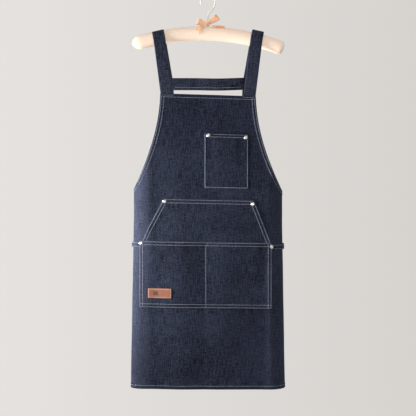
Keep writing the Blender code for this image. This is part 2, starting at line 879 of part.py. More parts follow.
def rivet_cap_mesh(post_length):
    """A domed cap with the post that goes through the cloth."""
    dome = []
    steps = 5
    for i in range(steps + 1):
        angle = math.radians(90 * i / steps)
        radius = RIVET_CAP_RADIUS * math.sin(angle)
        height = 0.0006 + (RIVET_CAP_HEIGHT - 0.0006) * math.cos(angle)
        dome.append((radius, height))
    rim = [(RIVET_CAP_RADIUS, 0.0), (RIVET_POST_RADIUS, 0.0)]
    foot = [(RIVET_POST_RADIUS, -post_length), (0.0, -post_length)]
    return profile_mesh("rivet_cap", dome + rim + foot)


def rivet_back_mesh():
    """A ring that the post is pressed into."""
    inner = RIVET_POST_RADIUS + GAP
    outer = RIVET_BACK_RADIUS
    low = -RIVET_BACK_HEIGHT
    corners = [(outer, 0), (outer, low), (inner, low), (inner, 0)]
    return profile_mesh("rivet_back", corners, closed=True)


def make_rivets(parent):
    for label, (x, z, layers) in RIVET_PLACES.items():
        name = "rivet_cap_" + label
        outside = CLOTH / 2 + layers * (PATCH + GAP) + GAP
        point, direction = rivet_frame(x, z, outside)
        post_length = outside + CLOTH / 2 + GAP + RIVET_BACK_HEIGHT
        cap = add_node(name, rivet_cap_mesh(post_length), nickel, parent, point)
        cap.rotation_euler = direction.to_euler()
        turn(cap, 16)
        smooth(cap, 50)

        name = "rivet_back_" + label
        point, direction = rivet_frame(x, z, -(CLOTH / 2 + GAP))
        ring = add_node(name, rivet_back_mesh(), nickel, parent, point)
        ring.rotation_euler = direction.to_euler()
        turn(ring, 16)


def rivet_hole_cutter():
    shape = bmesh.new()
    for x, z, _ in RIVET_PLACES.values():
        point, direction = rivet_frame(x, z, 0)
        matrix = Matrix.Translation(point) @ direction
        cylinder_shape(shape, RIVET_HOLE_RADIUS, 0.030, matrix, 12)
    return add_cutter("rivet_holes", mesh_from_bmesh("rivet_holes", shape))


# Waist ties


def tie_path(side):
    """From the lower pocket's corner round the side fold to the knot at the back."""
    lift = CLOTH / 2 + TIE_CLEARANCE + TIE_THICKNESS / 2
    reach = (-LOWER["left"] if side < 0 else LOWER["right"]) + 0.0008
    start = fold_angle(reach, TIE_Z)
    path = []
    steps = 14
    for i in range(steps + 1):
        angle = start + (math.pi / 2 - start) * i / steps
        path.append(fold_point(angle, TIE_Z, lift))
    path.append(Vector((WRAP_EDGE_X, BACK_Y + lift, TIE_Z)))
    near_knot = TIE_KNOT_SIZE.x / 2 + GAP + 0.0003
    path.append(Vector((near_knot, TIE_KNOT_CENTRE.y - 0.002, TIE_KNOT_CENTRE.z + 0.002)))
    return [Vector((side * point.x, point.y, point.z)) for point in path]


def make_waist_tie(name, side, parent):
    path = tie_path(side)
    rows = ribbon_rows(path, (0, 0, TIE_WIDTH))
    add_sheet(name, rows, TIE_THICKNESS, denim, parent, path[0])


def make_tie_bow(parent):
    mesh = block_mesh("tie_knot", TIE_KNOT_SIZE)
    knot = add_node("tie_knot", mesh, denim, parent, TIE_KNOT_CENTRE)
    bevel(knot, 0.0030, 3)
    smooth(knot, 60)
    for label, side in (("left", -1), ("right", 1)):
        make_tie_loop("tie_loop_" + label, side, parent)
        make_tie_tail("tie_end_" + label, side, parent)


def drooping_place(run):
    """Angle below the horizontal, distance out and drop, at run along a loop's arc."""
    first, last = [math.radians(degrees) for degrees in TIE_LOOP_DROOP]
    radius = TIE_LOOP_LENGTH / (last - first)
    angle = first + run / radius
    return angle, radius * (math.sin(angle) - math.sin(first)), radius * (math.cos(first) - math.cos(angle))


def make_tie_loop(name, side, parent):
    """A loop that curves down from the knot, its width turned towards the back."""
    start = TIE_KNOT_CENTRE + Vector((side * TIE_LOOP_START.x, TIE_LOOP_START.y, TIE_LOOP_START.z))
    rows = []
    for point in teardrop(TIE_LOOP_LENGTH, TIE_LOOP_SWELL, TIE_LOOP_ROOT):
        angle, out, drop = drooping_place(point.x)
        middle = start + Vector((side * out, point.y, -drop))
        half = Vector((side * math.sin(angle), 0, math.cos(angle))) * TIE_WIDTH / 2
        rows.append([middle - half, middle + half])
    add_sheet(name, rows, TIE_THICKNESS, denim, parent, start)


def make_tie_tail(name, side, parent):
    """A free end that hangs straight down below the knot."""
    offset = Vector((side * TIE_TAIL_START.x, TIE_TAIL_START.y, TIE_TAIL_START.z))
    top = TIE_KNOT_CENTRE + offset
    path = []
    for i in range(9):
        share = i / 8
        sway = 0.006 * math.sin(math.pi * share)
        drift = side * (0.012 * share + 0.004 * math.sin(2 * math.pi * share))
        path.append(top + Vector((drift, sway, -TIE_TAIL_LENGTH * share)))
    rows = ribbon_rows(path, (TIE_WIDTH, 0, 0))
    add_sheet(name, rows, TIE_THICKNESS, denim, parent, top)


def main():
    hook_frame = add_pivot("hook_frame", Vector((0, 0, 0)))
    hanger_pivot = add_pivot("hanger_pivot", Vector((0, 0, HANGER_CENTRE_Z)))
    apron_carrier = add_pivot("apron_carrier", Vector((0, 0, HANGER_CENTRE_Z)))

    make_hook_wire(hook_frame)
    make_stem_fixings(hook_frame)

    make_hanger(hanger_pivot)
    make_bow(hanger_pivot)

    holes = rivet_hole_cutter()
    make_apron_body(apron_carrier, holes)
    make_strap("strap_left", -1, apron_carrier)
    make_strap("strap_right", 1, apron_carrier)
    make_back_band(apron_carrier)
    make_chest_pocket(apron_carrier, holes)
    make_hand_pocket(apron_carrier, holes)
    make_lower_pocket(apron_carrier, holes)
    make_label(apron_carrier)
    make_rivets(apron_carrier)
    make_waist_tie("waist_tie_left", -1, apron_carrier)
    make_waist_tie("waist_tie_right", 1, apron_carrier)
    make_tie_bow(apron_carrier)


clear_scene()
parts = make_collection(OBJECT_NAME)
cutters = make_collection("cutters")
main()
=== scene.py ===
"""Looks for the denim apron on its padded hanger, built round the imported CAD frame."""

import math

import bpy
import numpy as np
from mathutils import Matrix, Vector


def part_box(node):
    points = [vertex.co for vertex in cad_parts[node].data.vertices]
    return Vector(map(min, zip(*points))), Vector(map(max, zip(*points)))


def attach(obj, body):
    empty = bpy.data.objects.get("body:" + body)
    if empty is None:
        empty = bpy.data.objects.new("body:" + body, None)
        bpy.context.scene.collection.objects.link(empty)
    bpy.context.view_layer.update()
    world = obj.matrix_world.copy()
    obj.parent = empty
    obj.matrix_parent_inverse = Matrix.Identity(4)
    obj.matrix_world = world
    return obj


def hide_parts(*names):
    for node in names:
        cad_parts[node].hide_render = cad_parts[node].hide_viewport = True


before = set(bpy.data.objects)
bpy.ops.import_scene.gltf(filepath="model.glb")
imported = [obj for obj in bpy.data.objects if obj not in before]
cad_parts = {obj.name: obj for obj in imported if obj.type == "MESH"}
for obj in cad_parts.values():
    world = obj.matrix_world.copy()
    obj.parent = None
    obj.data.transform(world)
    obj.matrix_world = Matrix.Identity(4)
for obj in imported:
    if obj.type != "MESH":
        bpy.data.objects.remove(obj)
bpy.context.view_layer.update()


def node_box(name):
    low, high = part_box(name)
    return np.array(low), np.array(high)

# ---------------------------------------------------------------- camera and light

body_low, body_high = node_box("apron_body")
cover_low, cover_high = node_box("hanger_cover")
VIEW_HEIGHT = -0.5430
VIEW_DISTANCE = 2.36
VIEW_WIDTH = 1.0530  # width of the frame at the front of the apron
SENSOR = 36.0
FLOOR_RADIUS = 0.78
FLOOR_DROP = 0.32  # below the hem


def in_scene(name, data):
    made = bpy.data.objects.new(name, data)
    bpy.context.scene.collection.objects.link(made)
    return made


def make_camera():
    data = bpy.data.cameras.new("camera")
    data.sensor_width = SENSOR
    data.lens = SENSOR * VIEW_DISTANCE / VIEW_WIDTH
    data.clip_start = 0.05
    data.clip_end = 50
    camera = in_scene("camera", data)
    camera.location = (0.0, body_low[1] - VIEW_DISTANCE, VIEW_HEIGHT)
    camera.rotation_euler = (math.radians(90), 0, 0)
    bpy.context.scene.camera = camera


def area_light(name, place, target, size, power, colour):
    data = bpy.data.lights.new(name, "AREA")
    data.shape = "DISK"
    data.size = size
    data.energy = power
    data.color = colour
    light = in_scene(name, data)
    light.location = place
    direction = Vector(target) - Vector(place)
    light.rotation_euler = direction.to_track_quat("-Z", "Y").to_euler()
    return data


def make_lights():
    key = area_light("key", (-1.25, -0.20, -0.60), (-0.1, -0.02, -0.60), 0.40, 10.5, (1.0, 0.99, 0.98))
    key.spread = math.radians(66)
    area_light("top", (0.15, -1.5, 0.95), (0, 0, -0.12), 0.9, 8, (1.0, 0.98, 0.95))
    area_light("front", (0.9, -2.6, -0.1), (0, 0, -0.3), 1.6, 18, (1.0, 0.98, 0.97))
    bpy.context.scene.view_settings.view_transform = "Standard"


def make_world():
    """Pale surroundings; on the camera's side they are bright on the left and dim on the right."""
    world = bpy.data.worlds.new("studio")
    bpy.context.scene.world = world
    look = Look(world)
    direction = look.node("TexCoord", "Generated", {})
    to_right = look.node("SeparateXYZ", "X", {0: direction})
    away = look.node("SeparateXYZ", "Y", {0: direction})
    backdrop = look.mix(look.ramp(to_right, -0.25, 0.25), shade(230, 227, 224), shade(213, 210, 206))
    room = look.mix(look.ramp(to_right, -0.9, 0.5), (0.54, 0.54, 0.54), (0.30, 0.302, 0.31))
    background = look.nodes["Background"].inputs
    look.feed(background["Color"], look.mix(look.ramp(away, 0.30, -0.10), backdrop, room))
    look.feed(background["Strength"], 1.0)


def make_floor():
    """A round pale floor, well below the hem."""
    data = bpy.data.meshes.new("floor")
    sides = 96
    level = body_low[2] - FLOOR_DROP
    angles = np.linspace(0, math.tau, sides, endpoint=False)
    points = [(FLOOR_RADIUS * math.cos(a), FLOOR_RADIUS * math.sin(a), level) for a in angles]
    data.from_pydata(points, [], [list(range(sides))])
    look = material_look("floor")
    data.materials.append(look.finished({"Base Color": shade(222, 219, 215), "Roughness": 0.9}))
    in_scene("floor", data)


# ---------------------------------------------------------------- materials


def shade(red, green, blue):
    """An sRGB colour as linear values."""
    values = []
    for channel in (red, green, blue):
        value = channel / 255
        values.append(value / 12.92 if value <= 0.04045 else ((value + 0.055) / 1.055) ** 2.4)
    return values

class Look:
    """A material or a world being built, with short ways to add nodes and join them."""

    def __init__(self, owner):
        owner.use_nodes = True
        self.owner = owner
        self.nodes = owner.node_tree.nodes
        self.links = owner.node_tree.links

    def feed(self, socket, value):
        """Gives a socket another node's output, a colour or a plain value."""
        if isinstance(value, bpy.types.NodeSocket):
            self.links.new(value, socket)
        else:
            socket.default_value = (*value, 1) if socket.type == "RGBA" else value

    def node(self, kind, output, inputs, **settings):
        node = self.nodes.new("ShaderNode" + kind)
        for name, value in settings.items():
            setattr(node, name, value)
        for key, value in inputs.items():
            self.feed(node.inputs[key], value)
        return node.outputs[output]

    def noise(self, vector, scale, detail=2.0, roughness=0.5):
        """Cloudy noise; its scale is one number, or one for each direction."""
        if isinstance(scale, tuple):
            vector, scale = self.node("Mapping", "Vector", {"Vector": vector, "Scale": scale}), 1.0
        inputs = {"Vector": vector, "Scale": scale, "Detail": detail, "Roughness": roughness}
        return self.node("TexNoise", "Fac", inputs)

    def ramp(self, value, low, high, to_low=0.0, to_high=1.0):
        """The value with low to high stretched to the range from to_low to to_high."""
        ends = {"From Min": low, "From Max": high, "To Min": to_low, "To Max": to_high}
        return self.node("MapRange", "Result", {"Value": value, **ends})

    def sum(self, *parts):
        """The sum of outputs, each given as (output, weight)."""
        total = 0.0
        for value, weight in parts:
            weighted = self.node("Math", "Value", {0: value, 1: weight}, operation="MULTIPLY")
            total = self.node("Math", "Value", {0: total, 1: weighted}, operation="ADD")
        return total

    def mix(self, factor, a, b):
        inputs = {"Factor": factor, "A": a, "B": b}
        return self.node("Mix", "Result", inputs, data_type="RGBA", clamp_factor=True)

    def attribute(self, name, output="Fac"):
        return self.node("Attribute", output, {}, attribute_name=name)

    def finished(self, inputs, bump=None):
        """The finished material; its bump is (height, strength, distance)."""
        if bump:
            bump = dict(zip(("Height", "Strength", "Distance"), bump))
            inputs = {**inputs, "Normal": self.node("Bump", "Normal", bump)}
        for key, value in inputs.items():
            self.feed(self.nodes["Principled BSDF"].inputs[key], value)
        return self.owner


def material_look(name):
    return Look(bpy.data.materials.new(name))


def denim(name, dark, light):
    """Twill with slubs along the warp, salt-and-pepper yarn, a soft fade, pale worn edges, and paleness
    round the side folds and on the left of the bib that is partly wear and partly painted light.
    """
    look = material_look(name)
    cloth = look.attribute("cloth", "Vector")
    turn = {"Vector": cloth, "Rotation": (0, 0, math.radians(32)), "Scale": (330, 330, 330)}
    wales = look.node("Mapping", "Vector", turn)
    twill = look.node("TexWave", "Fac", {"Vector": wales, "Scale": 1.0}, bands_direction="X")
    warp = look.noise(cloth, (430, 38, 1), 3, 0.6)
    weft = look.noise(cloth, (48, 420, 1), 2, 0.5)
    pepper = look.noise(cloth, (460, 250, 1), 3, 0.75)
    mottle = look.noise(cloth, 120, 3, 0.6)
    fade = look.noise(cloth, 8, 3, 0.55)
    fine = look.noise(cloth, 1100, 2, 0.6)

    tone = look.sum(
        (look.ramp(warp, 0.36, 0.64), 0.30),
        (look.ramp(weft, 0.36, 0.64), 0.16),
        (look.ramp(pepper, 0.38, 0.62), 0.36),
        (look.ramp(mottle, 0.36, 0.64), 0.07),
        (look.ramp(fade, 0.35, 0.65), 0.11),
    )
    tone = look.ramp(tone, 0.5 - DENIM_SPREAD, 0.5 + DENIM_SPREAD)
    ridge = look.ramp(twill, 0.0, 1.0, 0.86, 1.14)
    base = look.mix(tone, shade(*dark), shade(*light))
    ribbed = look.node("VectorMath", "Vector", {0: base, "Scale": ridge}, operation="SCALE")
    rim = look.ramp(look.attribute("edge"), 0.0, 0.0018, 0.6, 0.0)
    patchy = look.sum((rim, look.ramp(fine, 0.35, 0.6)))
    colour = look.mix(patchy, ribbed, shade(66, 72, 90))
    # Paler denim from the attribute: partly wear, partly painted light on the side folds and the left of
    # the bib; the pepper noise adds a little random fade.
    wear_and_painted_light = look.sum((look.attribute("wear_and_painted_light"), look.ramp(pepper, 0.3, 0.7, 0.03, 0.10)))
    surface_values = {
        "Base Color": look.mix(wear_and_painted_light, colour, shade(112, 121, 148)),
        "Roughness": 0.9,
        "Specular IOR Level": 0.12,
        "Sheen Weight": 0.06,
        "Sheen Roughness": 0.5,
        "Sheen Tint": shade(176, 184, 214),
    }
    height = look.sum((twill, 1.0), (warp, 1.4), (fine, 0.8))
    return look.finished(surface_values, (height, 0.5, 0.00035))


def thread(name):
    look = material_look(name)
    grain = look.noise(look.attribute("cloth", "Vector"), (500, 500, 500))
    colour = look.mix(grain, shade(104, 110, 126), shade(180, 184, 196))
    surface_values = {"Base Color": colour, "Roughness": 0.7, "Sheen Weight": 0.15}
    return look.finished(surface_values, (grain, 0.3, 0.0002))


def satin(name, pale, deep, sheen):
    """Smooth satin: faint weft lines, soft mottling and a wide gloss."""
    look = material_look(name)
    cloth = look.attribute("cloth", "Vector")
    lines = look.noise(cloth, (1600, 90, 1))
    cloud = look.noise(cloth, 28, 3)
    tone = look.sum((look.ramp(lines, 0.3, 0.7), 0.35), (look.ramp(cloud, 0.3, 0.7), 0.65))
    surface_values = {
        "Base Color": look.mix(tone, shade(*deep), shade(*pale)),
        "Roughness": look.ramp(cloud, 0.2, 0.8, 0.42, 0.55),
        "Specular IOR Level": 0.35,
        "Sheen Weight": sheen,
        "Sheen Roughness": 0.35,
    }
    return look.finished(surface_values, (lines, 0.25, 0.0002))


def metal(name, colour, roughness, scratch_scale):
    look = material_look(name)
    scratches = look.noise(look.node("TexCoord", "Object", {}), scratch_scale, 4, 0.7)
    dull = [0.82 * c for c in shade(*colour)]
    surface_values = {
        "Base Color": look.mix(scratches, dull, shade(*colour)),
        "Metallic": 1.0,
        "Roughness": look.ramp(scratches, 0.3, 0.7, roughness * 0.7, roughness * 1.3),
    }
    return look.finished(surface_values, (scratches, 0.15, 0.0001))


def coated_wire(name):
    look = material_look(name)
    mottle = look.noise(look.node("TexCoord", "Object", {}), 220, 3)
    colour = look.mix(mottle, shade(226, 214, 198), shade(246, 240, 230))
    surface_values = {"Base Color": colour, "Roughness": 0.32, "Coat Weight": 0.3}
    return look.finished(surface_values, (mottle, 0.1, 0.0002))


def wood(name):
    look = material_look(name)
    grain = look.noise(look.node("TexCoord", "Object", {}), (12, 300, 300), 4, 0.6)
    colour = look.mix(grain, shade(164, 124, 82), shade(212, 178, 134))
    return look.finished({"Base Color": colour, "Roughness": 0.6}, (grain, 0.3, 0.0003))


def leather(name):
    """Tan leather: fine pores, soft clouds, a pale burnished rim and a dark stamp."""
    look = material_look(name)
    cloth = look.attribute("cloth", "Vector")
    pores = look.node("TexVoronoi", "Distance", {"Vector": cloth, "Scale": 1300})
    cloud = look.noise(cloth, 110, 3)
    base = look.mix(cloud, shade(106, 63, 46), shade(132, 83, 62))
    rim = look.ramp(look.attribute("edge"), 0.0008, 0.0036, 0.6, 0.0)
    paled = look.mix(rim, base, shade(172, 124, 98))
    colour = look.mix(look.attribute("mark"), paled, shade(66, 44, 40))
    height = look.sum((pores, 1.0), (cloud, 1.0))
    return look.finished({"Base Color": colour, "Roughness": 0.5}, (height, 0.35, 0.0003))


# Half the range of tones, round the middle, that is stretched from the darkest to the palest denim.
DENIM_SPREAD = 0.225

# The body, the slot and the material of each kind of cloth.
DENIM = ("apron", "denim", denim("denim_cloth", (0, 1, 7), (42, 48, 66)))
STRAP_DENIM = ("apron", "denim", denim("denim_strap", (0, 2, 8), (57, 62, 80)))
THREAD = ("apron", "thread", thread("thread_white"))
PEACH = ("hanger", "ribbon", satin("ribbon_satin", (246, 198, 160), (226, 168, 126), 0.2))

# ---------------------------------------------------------------- mesh helpers


def smoothstep(value, low, high):
    share = np.clip((value - low) / (high - low), 0, 1)
    return share * share * (3 - 2 * share)


def unit(vectors):
    length = np.linalg.norm(vectors, axis=-1, keepdims=True)
    return vectors / np.maximum(length, 1e-12)


def add_piece(name, points, faces, finish, replaces=(), attributes=None):
    body, slot, material = finish
    mesh = bpy.data.meshes.new(name)
    mesh.from_pydata([tuple(p) for p in points], [], faces)
    mesh.update()
    mesh.shade_smooth()
    for label, values in (attributes or {}).items():
        values = np.asarray(values, np.float32)
        kind, key = ("FLOAT_VECTOR", "vector") if values.ndim == 2 else ("FLOAT", "value")
        mesh.attributes.new(label, kind, "POINT").data.foreach_set(key, values.ravel())
    mesh.materials.append(material)
    piece = in_scene(name, mesh)
    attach(piece, body)
    if replaces:
        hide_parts(*replaces)
    return piece


def grid_normals(points):
    """Unit normals of a grid whose rows run down and whose columns run to the right."""
    down = np.gradient(points, axis=0)
    right = np.gradient(points, axis=1)
    return unit(np.cross(down, right))


def shell_faces(rows, columns):
    """Faces of a closed sheet: front grid, back grid and a rounded rim between them."""
    faces = []
    back = rows * columns
    for r in range(rows - 1):
        for c in range(columns - 1):
            a = r * columns + c
            b = a + columns
            faces.append((a, b, b + 1, a + 1))
            faces.append((back + a, back + a + 1, back + b + 1, back + b))
    rim = rim_indices(rows, columns)
    count = len(rim)
    for i in range(count):
        j = (i + 1) % count
        a, b = rim[i], rim[j]
        faces.append((b, a, 2 * back + i, 2 * back + j))
        faces.append((2 * back + j, 2 * back + i, back + a, back + b))
    return faces


def rim_indices(rows, columns):
    """The grid's border, in order, starting down its left side."""
    left = [r * columns for r in range(rows)]
    bottom = [(rows - 1) * columns + c for c in range(1, columns)]
    right = [r * columns + columns - 1 for r in range(rows - 2, -1, -1)]
    top = list(range(columns - 2, 0, -1))
    return left + bottom + right + top


BACK_PATTERN_SHIFT = 0.37  # keeps the pattern on a sheet's back unlike the one on its front


def add_shell(name, middle, half, cloth, edge, finish, replaces, extra=None):
    """A closed sheet round the grid of points, half as thick on each side."""
    rows, columns = middle.shape[:2]
    half = np.broadcast_to(half, (rows, columns))
    normals = grid_normals(middle)
    front = middle + normals * half[..., None]
    back = middle - normals * half[..., None]
    padded = np.pad(middle, ((1, 1), (1, 1), (0, 0)), mode="reflect", reflect_type="odd")
    outward = np.zeros_like(middle)
    outward[0] += padded[0, 1:-1] - middle[0]
    outward[-1] += padded[-1, 1:-1] - middle[-1]
    reach = np.linalg.norm(outward[0].mean(0))
    outward[:, 0] += unit(padded[1:-1, 0] - middle[:, 0]) * reach
    reach = np.linalg.norm(outward[0].mean(0))
    outward[:, -1] += unit(padded[1:-1, -1] - middle[:, -1]) * reach
    rim = rim_indices(rows, columns)
    edge_points = middle.reshape(-1, 3)[rim]
    push = unit(outward.reshape(-1, 3)[rim]) * (0.7 * half.ravel()[rim])[:, None]
    points = np.concatenate([front.reshape(-1, 3), back.reshape(-1, 3), edge_points + push])
    flat = np.concatenate([cloth, np.zeros((rows, columns, 1))], axis=-1).reshape(-1, 3)
    other = flat + (0, 0, BACK_PATTERN_SHIFT)
    attributes = {
        "cloth": np.concatenate([flat, other, flat[rim]]),
        "edge": np.concatenate([edge.ravel(), edge.ravel(), np.zeros(len(rim))]),
    }
    for label, values in (extra or {}).items():
        attributes[label] = np.concatenate([values.ravel(), values.ravel(), values.ravel()[rim]])
    return add_piece(name, points, shell_faces(rows, columns), finish, replaces, attributes)


def circles(first, second, sides):
    """Points of a unit circle for each pair of directions."""
    angles = np.arange(sides) * math.tau / sides
    cosines, sines = np.cos(angles)[:, None], np.sin(angles)[:, None]
    return first[..., None, :] * cosines + second[..., None, :] * sines


def tube_faces(rings, sides):
    faces = []
    for r in range(rings - 1):
        for k in range(sides):
            a = r * sides + k
            b = r * sides + (k + 1) % sides
            faces.append((a, b, b + sides, a + sides))
    faces.append(tuple(reversed(range(sides))))
    last = (rings - 1) * sides
    faces.append(tuple(last + k for k in range(sides)))
    return faces


def border_distance(length_down, length_across, rows, columns):
    """Distance to the nearest side of a plain rectangle of cloth."""
    down = np.linspace(0, length_down, rows)[:, None]
    across = np.linspace(0, length_across, columns)[None, :]
    to_side = np.minimum(across, length_across - across)
    to_end = np.minimum(down, length_down - down)
    return np.minimum(to_side, to_end)


def along(points):
    """Running length at each point of a polyline."""
    steps = np.linalg.norm(np.diff(points, axis=0), axis=1)
    return np.concatenate([[0], np.cumsum(steps)])


def resample(points, spacing):
    """The same polyline with points about spacing apart."""
    points = np.asarray(points, float)
    lengths = along(points)
    count = max(2, int(round(lengths[-1] / spacing)) + 1)
    wanted = np.linspace(0, lengths[-1], count)
    return np.stack([np.interp(wanted, lengths, points[:, k]) for k in range(points.shape[1])], axis=1)


def bezier(a, b, c, d, count):
    t = np.linspace(0, 1, count)[:, None]
    a, b, c, d = (np.array(p, float) for p in (a, b, c, d))
    return a * (1 - t) ** 3 + 3 * b * t * (1 - t) ** 2 + 3 * c * t * t * (1 - t) + d * t ** 3


# ---------------------------------------------------------------- the apron's surface

CAD_HALF_CLOTH = 0.001
CAD_GAP = 0.0003
CAD_PATCH = 0.0012
FRONT_Y = body_low[1] + CAD_HALF_CLOTH
BACK_Y = body_high[1] - CAD_HALF_CLOTH
BIB_TOP_Z = body_high[2]
HEM_Z = body_low[2]
HEM_HALF_WIDTH = body_high[0] - CAD_HALF_CLOTH
WAIST_HALF_WIDTH = 0.190
WAIST_Z = -0.573
FOLD_RUN = 0.043
FOLD_DEPTH = (BACK_Y - FRONT_Y) / 2
BIB_HALF_WIDTH = 0.1205
ARM_END_Z = -0.497
WRAP_EDGE_X = 0.075
WRAP_CORNER_Z = -0.600
BIB_SLOPE = math.tan(math.radians(1.8))

fold_angles = np.linspace(-math.pi / 2, math.pi / 2, 401)
fold_points = np.stack([FOLD_RUN * np.cos(fold_angles), FOLD_DEPTH * np.sin(fold_angles)], axis=1)
fold_lengths = along(fold_points)
FOLD_LENGTH = fold_lengths[-1]


def half_width(z):
    share = np.clip((WAIST_Z - z) / (WAIST_Z - HEM_Z), 0, 1)
    return WAIST_HALF_WIDTH + share * (HEM_HALF_WIDTH - WAIST_HALF_WIDTH)


def round_front(x, z):
    """Distance round the cloth from its middle, for a place seen at x from the front."""
    start = half_width(z) - FOLD_RUN
    beyond = np.clip((np.abs(x) - start) / FOLD_RUN, 0, 1)
    on_fold = np.interp(-np.arccos(beyond), fold_angles, fold_lengths)
    return np.sign(x) * (np.minimum(np.abs(x), start) + on_fold)


def round_back(x, z):
    """Distance round the cloth to a place on its back half, on the right."""
    start = half_width(z) - FOLD_RUN
    beyond = np.clip((x - start) / FOLD_RUN, 0, 1)
    on_fold = np.interp(np.arccos(beyond), fold_angles, fold_lengths)
    return start + on_fold + np.clip(start - x, 0, None)


def drape(s, z):
    """How far the hanging cloth stands off its plain shape."""
    below = smoothstep(-z, -WAIST_Z - 0.05, -HEM_Z)
    crease = -0.0004 * np.exp(-(((s + 0.0095) / 0.008) ** 2)) * smoothstep(-z, 0.45, 0.60)
    waves = 0.0007 * np.sin(math.tau * s / 0.125 + 0.6 + 1.5 * z) * below
    waves = waves + 0.0003 * np.sin(math.tau * s / 0.071 + 2.1 - 4.0 * z) * below
    soft = 0.0003 * np.sin(31 * s + 17 * z) * np.sin(23 * z - 9 * s + 1.0)
    ripple = 0.00008 * np.sin(95 * s + 40 * z + 1.3) * np.sin(61 * z + 33 * s)
    bib = 0.0005 * np.sin(math.tau * s / 0.17 + 0.4) * smoothstep(z, -0.50, -0.35)
    turning = smoothstep(-s, 0.062, 0.150) * (1 - smoothstep(-s, 0.158, 0.215))
    turning = -0.0075 * turning * (0.35 + 0.65 * smoothstep(-z, 0.42, 0.56))
    return crease + waves + soft + ripple + bib + turning


def surface(s, z, lift=0.0):
    """Point on the apron's outer side, lift beyond the middle of its cloth."""
    s, z, lift = np.broadcast_arrays(np.asarray(s, float), z, lift)
    side = np.where(s < 0, -1.0, 1.0)
    distance = np.abs(s)
    start = half_width(z) - FOLD_RUN
    angle = np.interp(distance - start, fold_lengths, fold_angles)
    x = np.minimum(distance, start) + FOLD_RUN * np.cos(angle)
    x = x - np.clip(distance - start - FOLD_LENGTH, 0, None)
    y = (FRONT_Y + BACK_Y) / 2 + FOLD_DEPTH * np.sin(angle)
    normal = unit(np.stack([np.cos(angle) / FOLD_RUN, np.sin(angle) / FOLD_DEPTH], axis=-1))
    out = drape(s, z) + lift
    x = side * (x + normal[..., 0] * out)
    y = y + normal[..., 1] * out
    return np.stack([x, y, settle(x, y, z)], axis=-1)


def fold_wear_and_painted_light(s, z):
    """How much paler the cloth is painted: round both side folds partly as wear and partly as painted
    light, and on the upper left of the bib as painted light from the left.
    """
    wear_and_painted_light = smoothstep(np.abs(s), 0.138, 0.156) * (1 - 0.6 * smoothstep(np.abs(s), 0.165, 0.225))
    # painted light: the upper left of the bib is made paler, as if lit from the left
    return wear_and_painted_light + 0.25 * smoothstep(-s, 0.04, 0.11) * smoothstep(z, -0.50, -0.40)


def settle(x, y, z):
    """The front hangs a little lower on the right, most of all at the bib."""
    slope = BIB_SLOPE * np.clip((z - HEM_Z) / (BIB_TOP_Z - HEM_Z), 0, 1)
    front = 1 - smoothstep(y, FRONT_Y + 0.4 * FOLD_DEPTH, BACK_Y)
    return z - x * slope * front


def normal_on(place, s, z):
    """Unit normal, at (s, z), of the surface that place(s, z) gives."""
    step = 0.0005
    down = place(s, z - step) - place(s, z + step)
    right = place(s + step, z) - place(s - step, z)
    return unit(np.cross(down, right))


def surface_normal(s, z):
    return normal_on(surface, s, z)


def cut_outline():
    """Edge of the right half of the cut cloth, (s, z), from the bib's corner to the hem."""
    arm = bezier(
        (BIB_HALF_WIDTH, BIB_TOP_Z),
        (BIB_HALF_WIDTH + 0.0025, BIB_TOP_Z - 0.080),
        (0.146, -0.412),
        (WAIST_HALF_WIDTH, ARM_END_Z),
        80,
    )
    wrap = bezier(
        (WAIST_HALF_WIDTH, ARM_END_Z), (0.166, -0.543), (0.132, -0.590), (0.055, WRAP_CORNER_Z), 80
    )
    wrap = wrap[wrap[:, 0] > WRAP_EDGE_X]
    front = np.stack([round_front(arm[:, 0], arm[:, 1]), arm[:, 1]], axis=1)
    back = np.stack([round_back(wrap[:, 0], wrap[:, 1]), wrap[:, 1]], axis=1)
    sides = np.linspace(back[-1, 1] - 0.001, HEM_Z, 60)
    side = np.stack([round_back(WRAP_EDGE_X, sides), sides], axis=1)
    return np.concatenate([front, back[1:], side])


outline = resample(cut_outline(), 0.0042)


def edge_of(z):
    return np.interp(-np.asarray(z), -outline[:, 1], outline[:, 0])


def distance_to_cut(s, z):
    """Distance from a place on the cloth to the nearest cut edge."""
    dense = resample(outline, 0.0015)
    shape = s.shape
    s, z = np.abs(s).ravel(), np.broadcast_to(z, shape).ravel()
    nearest = np.minimum(BIB_TOP_Z - z, z - HEM_Z)
    for start in range(0, len(s), 4000):
        chunk = slice(start, start + 4000)
        gap = np.hypot(s[chunk, None] - dense[:, 0], z[chunk, None] - dense[:, 1])
        nearest[chunk] = np.minimum(nearest[chunk], gap.min(axis=1))
    return np.clip(nearest, 0, None).reshape(shape)


HEM_WIDTH = 0.0105
PANEL_HALF = 0.0007
HEM_EXTRA = 0.0005


def make_apron_body():
    share = np.linspace(-1, 1, 181)[None, :]
    s = share * outline[:, 0][:, None]
    z = np.broadcast_to(outline[:, 1][:, None], s.shape)
    edge = distance_to_cut(s, z)
    half = PANEL_HALF + HEM_EXTRA * (1 - smoothstep(edge, HEM_WIDTH - 0.001, HEM_WIDTH + 0.0015))
    pucker = 0.00010 * np.sin(math.tau * (s + z) / 0.0085) * np.exp(-((edge - HEM_WIDTH) / 0.006) ** 2)
    cloth = np.stack([s, z], axis=-1)
    # paleness round the side folds and on the left of the bib, partly wear and partly painted light
    extra = {"wear_and_painted_light": fold_wear_and_painted_light(s, z)}
    middle = surface(s, z, pucker)
    piece = add_shell("apron_cloth", middle, half, cloth, edge, DENIM, ["apron_body"], extra)


# ---------------------------------------------------------------- stitching

STITCH_LENGTH = 0.0027
STITCH_PITCH = 0.0035
THREAD_RADIUS = 0.00036
BEAD_SIDES = 6
# Each ring of a bead: its share of the length, its thickness and how far it rises from the cloth.
BEAD_SPREAD = np.array([0.0, 0.18, 0.5, 0.82, 1.0])
BEAD_SWELL = np.array([0.35, 0.92, 1.0, 0.92, 0.35]) * THREAD_RADIUS
BEAD_RISE = np.array([-0.5, 0.25, 0.55, 0.25, -0.5]) * THREAD_RADIUS


